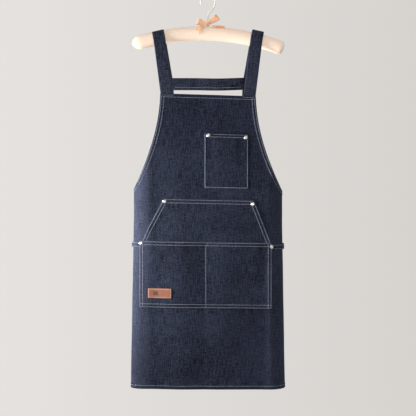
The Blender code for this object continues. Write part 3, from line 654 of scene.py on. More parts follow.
def stitch_run(path, place, normal_at):
    """Beads along a path of (s, z); place(s, z, rise) gives points on the cloth."""
    path = resample(path, 0.0005)
    lengths = along(path)
    count = int(lengths[-1] / STITCH_PITCH)
    starts = (np.arange(count) + 0.5) * lengths[-1] / count - STITCH_LENGTH / 2
    wanted = starts[:, None] + STITCH_LENGTH * BEAD_SPREAD[None, :]
    s = np.interp(wanted, lengths, path[:, 0])
    z = np.interp(wanted, lengths, path[:, 1])
    return place(s, z, BEAD_RISE[None, :]), normal_at(s[:, 2], z[:, 2])


def add_stitches(name, runs):
    """Closed beads of thread; each run gives the centres of their rings and their normals."""
    centres = np.concatenate([run[0] for run in runs])
    normals = np.concatenate([run[1] for run in runs])
    tangent = unit(centres[:, -1] - centres[:, 0])
    across = unit(np.cross(tangent, normals))
    ring = circles(across, np.cross(across, tangent), BEAD_SIDES)
    points = (centres[:, :, None] + ring[:, None] * BEAD_SWELL[None, :, None, None]).reshape(-1, 3)
    bead = tube_faces(len(BEAD_SWELL), BEAD_SIDES)
    firsts = range(0, len(points), len(BEAD_SWELL) * BEAD_SIDES)
    faces = [tuple(first + k for k in face) for first in firsts for face in bead]
    add_piece(name, points, faces, THREAD, (), {"cloth": points})


def panel_run(path):
    """Stitches on the apron's own hemmed cloth, along a path of (s, z)."""

    def place(s, z, rise):
        return surface(s, z, PANEL_HALF + HEM_EXTRA + rise)

    return stitch_run(path, place, surface_normal)


def panel_runs_both_sides(paths):
    return [panel_run(np.array(path) * (side, 1)) for path in paths for side in (-1, 1)]


def inset_outline(distance):
    """The cut edge moved inwards, from the bib's corner to the end of the wrap's top."""
    tangent = np.gradient(outline, axis=0)
    inward = unit(np.stack([tangent[:, 1], -tangent[:, 0]], axis=1))
    corner = np.argmax(outline[:, 0] > edge_of(WRAP_CORNER_Z - 0.01) - 0.002)
    return (outline + inward * distance)[: corner + 1]


def make_panel_stitches():
    arms = [inset_outline(distance) for distance in (0.0026, HEM_WIDTH - 0.0012)]
    arms = [arm[arm[:, 1] < BIB_TOP_Z - 0.002] for arm in arms]
    add_stitches("stitches_armholes", panel_runs_both_sides(arms))

    top = BIB_TOP_Z - 0.0078
    second = BIB_TOP_Z - 0.0030
    reach = float(edge_of(top)) - 0.002
    strap_inner = 0.0865
    under_strap = [(strap_inner, second), (reach - 0.0015, second)]
    runs = [panel_run([(-reach, top), (reach, top)])] + panel_runs_both_sides([under_strap])
    add_stitches("stitches_bib_top", runs)

    bottom = HEM_Z + 0.0080
    reach = float(edge_of(bottom)) - 0.003
    inner = reach - HEM_WIDTH + 0.002
    wrap_edge = [(inner, bottom + 0.003), (inner, WRAP_CORNER_Z - 0.012)]
    runs = [panel_run([(-reach, bottom), (reach, bottom)])] + panel_runs_both_sides([wrap_edge])
    add_stitches("stitches_hem", runs)


# ---------------------------------------------------------------- pockets

PATCH_HALF = 0.0006
SEAM = 0.0155
SWELL = 0.0024


def layer_lift(layer):
    """Middle of a pocket patch above the middle of the apron's cloth."""
    return CAD_HALF_CLOTH - 0.0002 + PATCH_HALF + layer * (CAD_PATCH + CAD_GAP)


def edge_x(value, z, lift):
    """Undoes the shift that lift gives an edge on the rounded side fold."""
    x = value
    for _ in range(6):
        x = x + value - float(surface(round_front(x, z), z, lift)[..., 0])
    return x


def cloth_noise(s, z, size, phase):
    return np.sin(s / size + phase) * np.sin(z / size * 0.8 + 2 * phase)


class Pocket:
    """A patch on the front of the apron, between edges that may slope."""

    def __init__(self, name, layer, top, bottom, left, right, swell, spacing=0.0022):
        self.name = name
        self.layer = layer
        self.top, self.bottom = top, bottom
        self.left, self.right = left, right
        self.swell = swell
        self.spacing = spacing

    def lift(self, s, z):
        return layer_lift(self.layer) + self.swell(s, z)

    def place(self, s, z, rise=0.0):
        hem = PATCH_HALF + 0.0002 + 0.0004 * smoothstep(z, self.top - 0.012, self.top - 0.010)
        return surface(s, z, self.lift(s, z) + hem + rise)

    def normal(self, s, z):
        return normal_on(self.place, s, z)

    def build(self, node):
        rows = int((self.top - self.bottom) / self.spacing)
        levels = np.linspace(self.top, self.bottom, rows)
        left = round_front(np.array([self.left(z) for z in levels]), levels)
        right = round_front(np.array([self.right(z) for z in levels]), levels)
        share = np.linspace(0, 1, int((right - left).max() / self.spacing))[None, :]
        s = left[:, None] + (right - left)[:, None] * share
        z = np.broadcast_to(levels[:, None], s.shape)
        edge = np.minimum(np.minimum(s - left[:, None], right[:, None] - s), self.top - z)
        edge = np.clip(np.minimum(edge, z - self.bottom), 0, None)
        near_seam = np.exp(-((edge - 0.004) / 0.004) ** 2)
        pucker = 0.00014 * np.sin(math.tau * (1.3 * s + z) / 0.0078) * near_seam
        dimple = 0.00014 * cloth_noise(s, z, 0.011, 1.0 + self.layer)
        dimple = dimple * smoothstep(edge, 0.004, 0.02)
        hem = 0.0003 * smoothstep(z, self.top - 0.0125, self.top - 0.0105)
        flatness = smoothstep(edge, 0.0, 0.0012)
        middle = surface(s, z, self.lift(s, z) + pucker + dimple - 0.0003 * (1 - flatness))
        cloth = np.stack([s + 0.7 * (self.layer + 1), z], axis=-1)
        # paleness round the side folds and on the left of the bib, partly wear and partly painted light
        extra = {"wear_and_painted_light": fold_wear_and_painted_light(s, z)}
        piece = add_shell(self.name, middle, PATCH_HALF + hem, cloth, edge, DENIM, [node], extra)

    def stitches(self, lines):
        """Runs of stitches along lines of places given as (x, z)."""
        runs = []
        for line in lines:
            path = resample([(float(round_front(x, z)), z) for x, z in line], 0.004)
            runs.append(stitch_run(path, self.place, self.normal))
        return runs


def make_chest_pocket():
    low, high = node_box("chest_pocket")
    left, right, top, bottom = low[0], high[0], high[2], low[2]
    height = top - bottom

    def swell(s, z):
        side = smoothstep(s, left + SEAM, left + SEAM + 0.02)
        side = side * smoothstep(-s, -right + SEAM, -right + SEAM + 0.02)
        depth = smoothstep(z, bottom + SEAM, bottom + SEAM + 0.6 * height)
        return 0.7 * SWELL * side * depth

    pocket = Pocket("chest_pocket_cloth", 0, top, bottom, lambda z: left, lambda z: right, swell)
    pocket.build("chest_pocket")
    inset = 0.0018
    foot = bottom + inset
    lines = [
        [(left + inset, top - 0.002), (left + inset, foot)],
        [(right - inset, top - 0.002), (right - inset, foot)],
        [(left + inset, foot), (right - inset, foot)],
        [(left + 0.003, top - 0.0024), (right - 0.003, top - 0.0024)],
        [(left + 0.003, top - 0.0088), (right - 0.003, top - 0.0088)],
    ]
    add_stitches("stitches_chest_pocket", pocket.stitches(lines))
    return pocket


def make_hand_pocket():
    low, high = node_box("hand_pocket")
    top, bottom = high[2], low[2]
    side_z = -0.628
    top_left, top_right = -0.113, 0.117
    side_left, side_right = -0.1695, 0.1590

    def left(z):
        share = min(1.0, (top - z) / (top - side_z))
        return top_left + share * (side_left - top_left)

    def right(z):
        share = min(1.0, (top - z) / (top - side_z))
        return top_right + share * (side_right - top_right)

    def swell(s, z):
        below = top - z
        rise = smoothstep(below, 0.016, 0.045)
        fall = 1 - smoothstep(below, top - side_z - 0.034, top - side_z - 0.006)
        return 0.8 * SWELL * rise * fall

    pocket = Pocket("hand_pocket_cloth", 0, top, bottom, left, right, swell, 0.0026)
    pocket.build("hand_pocket")
    lines = []
    for inset, cut in ((0.0020, 0.004), (0.0098, 0.008)):
        lines.append([(top_left + cut, top - inset), (top_right - cut, top - inset)])
    levels = np.linspace(top - 0.003, side_z - 0.001, 12)
    for edge, sign in ((left, 1), (right, -1)):
        for inset in (0.0025, 0.0110):
            lines.append([(edge(z) + sign * inset, z) for z in levels])
    add_stitches("stitches_hand_pocket", pocket.stitches(lines))
    return pocket


def make_lower_pocket():
    low, high = node_box("lower_pocket")
    top, bottom = high[2], low[2]
    lift = layer_lift(1)
    middle_z = (top + bottom) / 2
    left, right = edge_x(low[0], middle_z, lift), edge_x(high[0], middle_z, lift)
    divider = -0.0056

    def swell(s, z):
        first = smoothstep(s, left + SEAM, left + SEAM + 0.03)
        first = first * smoothstep(-s, -divider + 0.003, -divider + 0.060)
        second = smoothstep(s, divider + 0.003, divider + 0.060)
        second = second * smoothstep(-s, -right + SEAM, -right + SEAM + 0.03)
        depth = smoothstep(z, bottom + SEAM, bottom + SEAM + 0.6 * (top - bottom))
        return SWELL * (first + second) * depth

    pocket = Pocket("lower_pocket_cloth", 1, top, bottom, lambda z: left, lambda z: right, swell)
    pocket.build("lower_pocket")
    lines = []
    for inset in (0.0022, 0.0094):
        for level in (top - inset, bottom + inset):
            lines.append([(left + 0.002, level), (right - 0.002, level)])
    for inset in (0.0020, 0.0088):
        for x in (left + inset, right - inset):
            lines.append([(x, top - 0.004), (x, bottom + 0.003)])
    lines.append([(divider, top - 0.011), (divider, bottom + 0.003)])
    lines.append([(divider + 0.006, top - 0.003), (divider, top - 0.011)])
    add_stitches("stitches_lower_pocket", pocket.stitches(lines))
    return pocket


def make_label(pocket):
    low, high = node_box("leather_label")
    rows, columns = 24, 58
    x = np.linspace(low[0] + 0.0004, high[0], columns)[None, :]
    z = np.linspace(high[2], low[2], rows)[:, None]
    x, z = np.broadcast_arrays(x, z)
    s = round_front(x, z)
    width, height = high[0] - low[0], high[2] - low[2]
    edge = border_distance(height, width, rows, columns)
    groove = 0.00022 * np.exp(-(((edge - 0.0021) / 0.0005) ** 2))
    centre = low[0] + 0.33 * width
    mark = smoothstep(0.0066 - np.abs(x - centre), 0, 0.0008)
    mark = mark * smoothstep(0.0052 - np.abs(z - (low[2] + high[2]) / 2), 0, 0.0008)
    lift = pocket.lift(s, z) + PATCH_HALF + 0.0010 - groove - 0.0002 * mark
    middle = surface(s, z, lift)
    cloth = np.stack([x, z], axis=-1)
    finish = ("apron", "leather", leather("label_leather"))
    add_shell("label_leather", middle, 0.0007, cloth, edge, finish, ["leather_label"], {"mark": mark})


# ---------------------------------------------------------------- straps and band

HANGER_DROP = 0.90
HANGER_ROUNDNESS = 0.80
HANGER_CENTRE_Z = cover_high[2] - 0.0195
HANGER_HALF_DEPTH = cover_high[1]
HANGER_HALF_HEIGHT = 0.0195
STRAP_WIDTH = 0.0295
STRAP_HALF = 0.0009
STRAP_HANGER_X = 0.1235
STRAP_BIB_X = 0.1030
STRAP_BAND_X = 0.1045
STRAP_BACK_X = 0.089
BAND_Z = float(np.mean(node_box("back_band"), axis=0)[2])
STRAP_BAR_Y = HANGER_HALF_DEPTH + 0.0005 + CAD_HALF_CLOTH
STRAP_BAR_RISE = HANGER_HALF_HEIGHT + 0.0009 + CAD_HALF_CLOTH
STRAP_START_Z = -0.276  # behind the top of the bib
STRAP_END_Z = node_box("strap_right")[0][2] + 0.0034
STRAP_BAR_RUN = 0.190  # how far along the strap the hanger is


def hanger_z(x):
    return HANGER_CENTRE_Z - HANGER_DROP * x * x


def squared(value, power):
    return np.sign(value) * np.abs(value) ** power


def hanger_point(x, angle, depth, height):
    """Point round the hanger at x: angle 0 is on top and 90 degrees is in front."""
    slope = np.arctan(2 * HANGER_DROP * x)
    rise = height * squared(np.cos(angle), HANGER_ROUNDNESS)
    y = -depth * squared(np.sin(angle), HANGER_ROUNDNESS)
    return np.stack([x + rise * np.sin(slope), y, hanger_z(x) + rise * np.cos(slope)], axis=-1)


def strap_back_point(z):
    end = BACK_Y - 2 * CAD_HALF_CLOTH - CAD_GAP
    top = float(hanger_z(STRAP_HANGER_X))
    share = (top - z) / (top - STRAP_END_Z)
    if z >= BAND_Z:
        x = STRAP_HANGER_X + (top - z) / (top - BAND_Z) * (STRAP_BAND_X - STRAP_HANGER_X)
    else:
        x = STRAP_BAND_X + (BAND_Z - z) / (BAND_Z - STRAP_END_Z) * (STRAP_BACK_X - STRAP_BAND_X)
    return (x, STRAP_BAR_Y + share * (end - STRAP_BAR_Y), z)


def strap_middle():
    """Middle line of the right strap, from behind the bib over the hanger to the back."""
    path = [
        (STRAP_BIB_X, -STRAP_BAR_Y, STRAP_START_Z),
        (STRAP_BIB_X + 0.0025, -STRAP_BAR_Y, BIB_TOP_Z + 0.003),
    ]
    x = np.float64(STRAP_HANGER_X)
    for angle in np.linspace(math.pi / 2, -math.pi / 2, 41):
        path.append(tuple(hanger_point(x, angle, STRAP_BAR_Y, STRAP_BAR_RISE)))
    for z in (-0.17, BAND_Z, -0.30, -0.40, -0.50, STRAP_END_Z):
        path.append(strap_back_point(z))
    return np.array(path)


def rounded_path(path, passes, spacing):
    """Resamples a path evenly and eases its corners."""
    path = resample(path, spacing)
    for _ in range(passes):
        path[1:-1] = (path[:-2] + 2 * path[1:-1] + path[2:]) / 4
    return path


def make_strap(name, side):
    path = rounded_path(strap_middle(), 6, 0.0028)
    lengths = along(path)
    slope = math.atan(2 * HANGER_DROP * STRAP_HANGER_X)
    across = np.array([math.cos(slope), 0, -math.sin(slope)])
    tangent = unit(np.gradient(path, axis=0))
    level = unit(np.array([1.0, 0, 0]) - tangent * tangent[:, :1])
    on_hanger = np.exp(-(((lengths - STRAP_BAR_RUN) / 0.05) ** 2))[:, None]
    across = unit(level * (1 - on_hanger) + across * on_hanger)
    columns = 13
    share = np.linspace(-0.5, 0.5, columns)
    middle = path[:, None] + across[:, None] * share[None, :, None] * STRAP_WIDTH
    run = lengths[:, None]
    free = smoothstep(lengths, 0.25, 0.34) * (1 - smoothstep(lengths, lengths[-1] - 0.06, lengths[-1]))
    wave = 0.0012 * np.sin(run / 0.035 + 1.0 + side) + 0.0006 * np.sin(run / 0.011 + share[None, :] * 4)
    middle[..., 1] += wave * free[:, None]
    middle[..., 0] *= side
    shift = BIB_SLOPE * smoothstep(-middle[..., 2], 0.115, -BIB_TOP_Z) * (middle[..., 1] < 0)
    middle[..., 2] -= middle[..., 0] * shift
    if side > 0:
        middle = middle[:, ::-1]
    edge = border_distance(lengths[-1], STRAP_WIDTH, len(path), columns)
    cloth = np.stack(np.broadcast_arrays(share[None, :] * STRAP_WIDTH + side, run), axis=-1)
    half = STRAP_HALF - 0.0002 * (1 - smoothstep(edge, 0.0, 0.002))
    node = f"strap_{name}"
    piece = add_shell(node + "_cloth", middle, half, cloth, edge, STRAP_DENIM, [node])


def make_back_band():
    low, high = node_box("back_band")
    rows, columns = 14, 90
    x = np.linspace(low[0], high[0], columns)[None, :]
    share = np.linspace(0, 1, rows)[:, None]
    sag = 0.0016 * (1 - (x / high[0]) ** 2) + 0.0004 * np.sin(x / 0.02)
    z = high[2] + share * (low[2] - high[2]) - sag
    y = (low[1] + CAD_HALF_CLOTH) + share * (high[1] - low[1] - 2 * CAD_HALF_CLOTH)
    y = y + 0.0012 * np.cos(x / 0.031) * (1 - (x / high[0]) ** 2)
    x, y, z = np.broadcast_arrays(x, y, z)
    middle = np.stack([x, y, z], axis=-1)
    height = high[2] - low[2]
    edge = border_distance(height, 2 * high[0], rows, columns)
    cloth = np.stack([z + 3.0, x], axis=-1)
    piece = add_shell("back_band_cloth", middle, STRAP_HALF, cloth, edge, STRAP_DENIM, ["back_band"])

    def spot(s, v):
        return (high[2] - v) / height * (rows - 1), np.interp(s, x[0], np.arange(columns))

    runs = []
    for side, inset, ends in ((1, 0.0066, 0.030), (-1, 0.0066, 0.004), (-1, height - 0.0032, 0.004)):
        line = [(ends - high[0], low[2] + inset), (high[0] - ends, low[2] + inset)]
        runs.append(grid_run(middle, STRAP_HALF, side, spot, line))
    add_stitches("stitches_band", runs)


def sample_grid(grid, row, column):
    """Values of a grid at fractional rows and columns."""
    row = np.clip(row, 0, grid.shape[0] - 1.001)
    column = np.clip(column, 0, grid.shape[1] - 1.001)
    r, c = row.astype(int), column.astype(int)
    u, v = (row - r)[..., None], (column - c)[..., None]
    top = grid[r, c] * (1 - v) + grid[r, c + 1] * v
    bottom = grid[r + 1, c] * (1 - v) + grid[r + 1, c + 1] * v
    return top * (1 - u) + bottom * u


def grid_run(grid, half, side, spot, line):
    """Stitches on one side of a sheet; spot(s, z) gives the row and column of a place."""
    normals = grid_normals(grid)

    def place(s, z, rise):
        row, column = spot(s, z)
        outward = sample_grid(normals, row, column) * side
        return sample_grid(grid, row, column) + outward * (half + rise)[..., None]

    def normal_at(s, z):
        return unit(sample_grid(normals, *spot(s, z))) * side

    return stitch_run(line, place, normal_at)


def strip_runs(grid, lines, sides=(1,)):
    """Stitches on a tie, along lines given as fractions (down, across)."""
    rows, columns = grid.shape[:2]
    long_side = middle_length(grid)
    short_side = along(grid[rows // 2])[-1]

    def spot(across, down):
        return down / long_side * (rows - 1), across / short_side * (columns - 1)

    runs = []
    for side in sides:
        for line in lines:
            line = [(across * short_side, down * long_side) for down, across in line]
            runs.append(grid_run(grid, TIE_HALF, side, spot, line))
    return runs


def middle_length(grid):
    """Length of a strip down its middle column."""
    return float(along(grid[:, grid.shape[1] // 2])[-1])


# ---------------------------------------------------------------- hook and hanger

WIRE_RADIUS = 0.00225
HOOK_TIP_ANGLE = 205.0
S_BEND_START_Z = -0.056
LEFT_END = (0.0240, 2.0)  # length and bluntness of the rounded end
RIGHT_END = (0.0150, 3.0)
HANGER_LEAN = math.tan(math.radians(1.5))
PAD_ROOM = 0.0014  # how far the padding may swell its cover
PAD_VOXEL = 0.0042
PAD_PRESSURE = 5.0
PAD_FRAMES = 20


def lean(points):
    """The hanger hangs a little lower on the right."""
    points = np.array(points, float)
    points[..., 2] -= points[..., 0] * HANGER_LEAN
    return points


def sweep(path, radii, sides):
    """Points and faces of a closed tube along a path in the plane Y = 0."""
    tangent = unit(np.gradient(path, axis=0))
    first = unit(np.cross(tangent, (0.0, 1.0, 0.0)))
    ring = circles(first, np.cross(tangent, first), sides)
    points = (path[:, None] + ring * radii[:, None, None]).reshape(-1, 3)
    return points, tube_faces(len(path), sides)


def make_hook():
    low, high = node_box("hook_wire")
    radius = (high[0] - low[0]) / 2 - WIRE_RADIUS
    centre_z = high[2] - WIRE_RADIUS - radius
    bend = bezier(
        (0, 0, S_BEND_START_Z),
        (0, 0, S_BEND_START_Z + 0.018),
        (radius, 0, centre_z - 0.022),
        (radius, 0, centre_z),
        40,
    )
    angles = np.radians(np.linspace(0, HOOK_TIP_ANGLE, 90))[1:]
    arc = np.stack([radius * np.cos(angles), 0 * angles, centre_z + radius * np.sin(angles)], axis=1)
    path = resample(np.concatenate([[(0, 0, low[2])], bend, arc]), 0.0011)
    lengths = along(path)
    to_end = np.minimum(lengths, lengths[-1] - lengths)
    rounded = np.sqrt(np.clip(1 - (1 - np.clip(to_end / WIRE_RADIUS, 0, 1)) ** 2, 0.02, 1))
    points, faces = sweep(path, WIRE_RADIUS * rounded, 20)
    finish = ("hook", "wire_coating", coated_wire("wire"))
    add_piece("hook_wire_coated", points, faces, finish, ["hook_wire"])


def end_profile(end, inset, count):
    """Places along a rounded end of the hanger and the size of its section there."""
    length, bluntness = end
    angles = np.radians(np.linspace(0, 88, count))
    run = (length - inset) * np.sin(angles)
    scale = (1 - np.sin(angles) ** bluntness) ** (1 / bluntness)
    return cover_high[0] - length + run, scale


def hanger_shape(inset):
    """Closed mesh of the padded bar, drawn in by inset."""
    left_x, left_scale = end_profile(LEFT_END, inset, 12)
    right_x, right_scale = end_profile(RIGHT_END, inset, 12)
    straight = np.linspace(-left_x[0], right_x[0], 84)[1:-1]
    x = np.concatenate([-left_x[::-1], straight, right_x])
    scale = np.concatenate([left_scale[::-1], np.ones(len(straight)), right_scale])[:, None]
    sides = 56
    angles = np.arange(sides)[None, :] * math.tau / sides
    depth = (HANGER_HALF_DEPTH - inset) * scale
    height = (HANGER_HALF_HEIGHT - inset) * scale
    points = hanger_point(np.broadcast_to(x[:, None], (len(x), sides)), angles, depth, height)
    return points.reshape(-1, 3), tube_faces(len(x), sides)


def cloth_settled(points, faces, held):
    """Blows the padded bar up from inside with a cloth simulation; held marks what stays put."""
    mesh = bpy.data.meshes.new("pad")
    mesh.from_pydata([tuple(p) for p in points], [], faces)
    pad = in_scene("pad", mesh)
    remesh = pad.modifiers.new("remesh", "REMESH")
    remesh.mode = "VOXEL"
    remesh.voxel_size = PAD_VOXEL
    pad = applied(pad)
    start = coordinates(pad.data)
    group = pad.vertex_groups.new(name="held")
    for index in np.flatnonzero(held(start)):
        group.add([int(index)], 1.0, "REPLACE")
    cloth = pad.modifiers.new("cloth", "CLOTH")
    cloth.settings.quality = 6
    cloth.settings.mass = 0.3
    cloth.settings.tension_stiffness = 25
    cloth.settings.compression_stiffness = 12
    cloth.settings.bending_stiffness = 1.5
    cloth.settings.use_pressure = True
    cloth.settings.uniform_pressure_force = PAD_PRESSURE
    cloth.settings.vertex_group_mass = "held"
    cloth.settings.effector_weights.gravity = 0
    cloth.collision_settings.use_collision = False
    for number in range(1, PAD_FRAMES + 1):
        bpy.context.scene.frame_set(number)
    pad = applied(pad)
    bpy.context.scene.frame_set(1)
    moved = coordinates(pad.data) - start
    length = np.linalg.norm(moved, axis=1, keepdims=True)
    moved = moved * np.minimum(1, PAD_ROOM / np.maximum(length, 1e-9))
    pad.data.vertices.foreach_set("co", (start + moved).ravel())
    pad.modifiers.new("smooth", "SMOOTH").iterations = 3
    pad.modifiers.new("divide", "SUBSURF").levels = 1
    return applied(pad)


def applied(piece):
    """The piece with its modifiers baked into its mesh."""
    graph = bpy.context.evaluated_depsgraph_get()
    mesh = bpy.data.meshes.new_from_object(piece.evaluated_get(graph))
    name = piece.name
    bpy.data.objects.remove(piece)
    made = in_scene(name, mesh)
    bpy.context.view_layer.update()
    return made


def coordinates(mesh):
    values = np.empty(len(mesh.vertices) * 3, np.float32)
    mesh.vertices.foreach_get("co", values)
    return values.reshape(-1, 3).astype(float)


def bar_coordinates(points):
    """Place on the bar: along it, round it and how far from its centreline."""
    x = points[:, 0].copy()
    for _ in range(8):
        slope = np.arctan(2 * HANGER_DROP * x)
        rise = (points[:, 2] - hanger_z(x)) / np.cos(slope)
        x = points[:, 0] - rise * np.sin(slope)
    slope = np.arctan(2 * HANGER_DROP * x)
    rise = (points[:, 2] - hanger_z(x)) / np.cos(slope)
    return x, np.arctan2(-points[:, 1], rise), np.hypot(points[:, 1], rise)


def make_hanger():
    points, faces = hanger_shape(PAD_ROOM)

    def held(places):
        under_strap = np.abs(np.abs(places[:, 0]) - STRAP_HANGER_X) < STRAP_WIDTH / 2 + 0.003
        at_stem = (np.abs(places[:, 0]) < 0.007) & (places[:, 2] > hanger_z(places[:, 0]))
        below = np.abs(places[:, 1]) < 0.002
        at_seam = below & (places[:, 2] < hanger_z(places[:, 0]))
        return under_strap | at_stem | at_seam

    pad = cloth_settled(points, faces, held)
    places = coordinates(pad.data)
    x, angle, radius = bar_coordinates(places)
    from_seam = np.abs(np.abs(angle) - math.pi) * radius
    seam = np.exp(-((from_seam / 0.0016) ** 2))
    gathers = np.exp(-((from_seam - 0.004) / 0.005) ** 2) * np.sin(x / 0.0017)
    outward = unit(places - np.stack([places[:, 0], 0 * x, hanger_z(places[:, 0])], axis=1))
    places = places - outward * (0.0008 * seam + 0.00015 * gathers)[:, None]
    pad.data.vertices.foreach_set("co", lean(places).ravel())
    cloth = np.stack([x, angle * radius.mean(), 0 * x], axis=1).astype(np.float32)
    attribute = pad.data.attributes.new("cloth", "FLOAT_VECTOR", "POINT")
    attribute.data.foreach_set("vector", cloth.ravel())
    pad.data.materials.clear()
    pad.data.materials.append(satin("cover_satin", (250, 227, 206), (243, 218, 196), 0.15))
    pad.data.shade_smooth()
    pad.name = "hanger_padded_cover"
    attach(pad, "hanger")
    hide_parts("hanger_cover", "hanger_padding")


# ---------------------------------------------------------------- ribbon bow

RIBBON_HALF = 0.00035
BOW_LOOP_WIDTH = 0.0145
BOW_TAIL_WIDTH = 0.0125
BOW_TILTS = {"left": 12, "right": 38}
# Where each tail starts and ends: along the hanger, and down its front.
BOW_TAILS = {"left": ((-0.009, 0.008), (-0.026, 0.027)), "right": ((0.010, 0.006), (0.043, 0.011))}
SIDES = {"left": -1, "right": 1}


def ribbon(name, middle, half, finish):
    """A strip named after its CAD node."""
    rows, columns = middle.shape[:2]
    length = middle_length(middle)
    width = along(middle[rows // 2])[-1]
    edge = border_distance(length, width, rows, columns)
    across = np.linspace(0, width, columns)[None, :]
    down = np.linspace(0, length, rows)[:, None]
    cloth = np.stack(np.broadcast_arrays(across, down), axis=-1)
    piece = add_shell(name, middle, half, cloth, edge, finish, [name.rsplit("_", 1)[0]])
    return piece


def turned(points, axis, degrees):
    turn = np.array(Matrix.Rotation(math.radians(degrees), 3, axis))
    return points @ turn.T


def teardrop(length, swell, root, count):
    angles = np.linspace(0, math.pi, count)
    run = length * np.sin(angles) ** 0.7
    bulge = root + swell * np.sin(angles) ** 2
    return np.stack([run, bulge * np.cos(angles), 0 * run], axis=1)


def make_bow_loop(name, side, centre, knot_half):
    low, high = node_box("bow_loop_" + name)
    tilt = BOW_TILTS[name]
    reach = (high[0] - low[0]) / math.cos(math.radians(tilt)) * 0.93
    path = teardrop(reach, 0.0042, 0.0008, 46)
    share = np.linspace(-0.5, 0.5, 15)
    spread = 0.50 + 0.50 * smoothstep(path[:, 0], 0, 0.6 * reach)
    middle = path[:, None] + np.zeros((1, len(share), 3))
    middle[..., 2] = share[None, :] * (BOW_LOOP_WIDTH * spread)[:, None]
    near_knot = 1 - smoothstep(path[:, 0], 0, 0.5 * reach)
    crease = 0.0007 * np.cos(share * 20)[None, :] * near_knot[:, None]
    curl = 0.0016 * (2 * share[None, :]) ** 2 * smoothstep(path[:, 0], 0.5 * reach, reach)[:, None]
    middle[..., 1] += crease + curl * np.sign(path[:, 1])[:, None]
    middle[..., 0] *= side
    middle = turned(middle, "Y", -side * tilt)
    start = centre + (side * (knot_half[0] - 0.0008), 0, 0.0006)
    ribbon(f"bow_loop_{name}_ribbon", resample_grid(middle + start), RIBBON_HALF, PEACH)


def make_bow_tail(name, start, end):
    """An end of the ribbon, with a notched tip, lying on the hanger."""
    down = np.linspace(0, 1, 20)[:, None]
    path = np.array(start) + down * (np.array(end) - np.array(start))
    path = path + np.array([0, 0.0016]) * np.sin(math.pi * down)
    run = unit(np.gradient(path, axis=0))
    across = np.stack([-run[:, 1], run[:, 0]], axis=1)
    share = np.linspace(-0.5, 0.5, 9)
    width = BOW_TAIL_WIDTH * (0.55 + 0.45 * smoothstep(down[:, 0], 0, 0.5))
    spot = path[:, None] + across[:, None] * share[None, :, None] * width[:, None, None]
    notch = 0.0035 * (1 - np.abs(2 * share))[None, :] * smoothstep(down, 0.75, 1.0)
    spot = spot - run[:, None] * notch[..., None]
    lift = 0.0009 + 0.0012 * np.sin(math.pi * down) ** 2 + 0.0005 * np.cos(share * 9)[None, :]
    angle = spot[..., 1] / ((HANGER_HALF_DEPTH + HANGER_HALF_HEIGHT) / 2)
    middle = hanger_point(spot[..., 0], angle, HANGER_HALF_DEPTH + lift, HANGER_HALF_HEIGHT + lift)
    tail = ribbon(f"bow_tail_{name}_ribbon", lean(middle), RIBBON_HALF, PEACH)
    flat = (BOW_TAIL_WIDTH, middle_length(middle))


def make_bow():
    low, high = node_box("bow_knot")
    centre, knot_half = (low + high) / 2, (high - low) / 2
    for name, side in SIDES.items():
        make_bow_loop(name, side, centre, knot_half)
    for name, (start, end) in BOW_TAILS.items():
        make_bow_tail(name, start, end)
    make_knot("bow_knot_ribbon", centre, knot_half * (1.0, 1.1, 1.0), PEACH, 5)
    make_stem_wrap()


def resample_grid(grid):
    """The grid with its rows evenly spaced along its middle column."""
    lengths = along(grid[:, grid.shape[1] // 2])
    wanted = np.linspace(0, lengths[-1], grid.shape[0])
    made = np.empty_like(grid)
    for c in range(grid.shape[1]):
        for k in range(3):
            made[:, c, k] = np.interp(wanted, lengths, grid[:, c, k])
    return made


def make_knot(name, centre, half, finish, folds):
    """A pulled knot: a soft block, drawn in at its middle, with folds running round it."""
    rows, sides = 30, 48
    rise = np.linspace(-math.pi / 2 + 0.04, math.pi / 2 - 0.04, rows)[:, None]
    around = np.arange(sides)[None, :] * math.tau / sides
    ring = squared(np.cos(rise), 0.55)
    x = ring * squared(np.cos(around), 0.7)
    y = ring * squared(np.sin(around), 0.7)
    z = squared(np.sin(rise), 0.75) + 0 * around
    waist = 1 - 0.10 * np.exp(-((z / 0.55) ** 2))
    wave = 1 + 0.035 * np.cos(folds * math.pi * (x * waist) + 0.6 * z)
    points = np.stack([x * waist, y * wave * waist, z], axis=-1) * np.asarray(half) + centre
    points = points.reshape(-1, 3)
    cloth = np.stack(np.broadcast_arrays(around * half[0], z * half[2]), axis=-1).reshape(-1, 2)
    cloth = np.concatenate([cloth, np.zeros((len(cloth), 1))], axis=1)
    attributes = {"cloth": cloth, "edge": np.full(len(points), 0.01)}
    add_piece(name, points, tube_faces(rows, sides), finish, [name.rsplit("_", 1)[0]], attributes)


def make_stem_wrap():
    low, high = node_box("bow_stem_wrap")
    height = high[2] - low[2]
    rows = 64
    turns = np.linspace(0, 2.2 * math.tau, rows)
    radius = (high[0] - low[0]) / 2 - 0.0006 + 0.00012 * np.sin(3 * turns)
    share = np.linspace(-0.5, 0.5, 9)
    level = (low[2] + high[2]) / 2 + np.linspace(-0.1, 0.1, rows) * height
    x = (radius * np.cos(turns))[:, None]
    y = (radius * np.sin(turns))[:, None]
    z = level[:, None] + share[None, :] * 0.8 * height
    middle = np.stack(np.broadcast_arrays(x, y, z), axis=-1)
    ribbon("bow_stem_wrap_ribbon", middle, 0.00025, PEACH)


# ---------------------------------------------------------------- rivets

RIVET_RADIUS = 0.0046
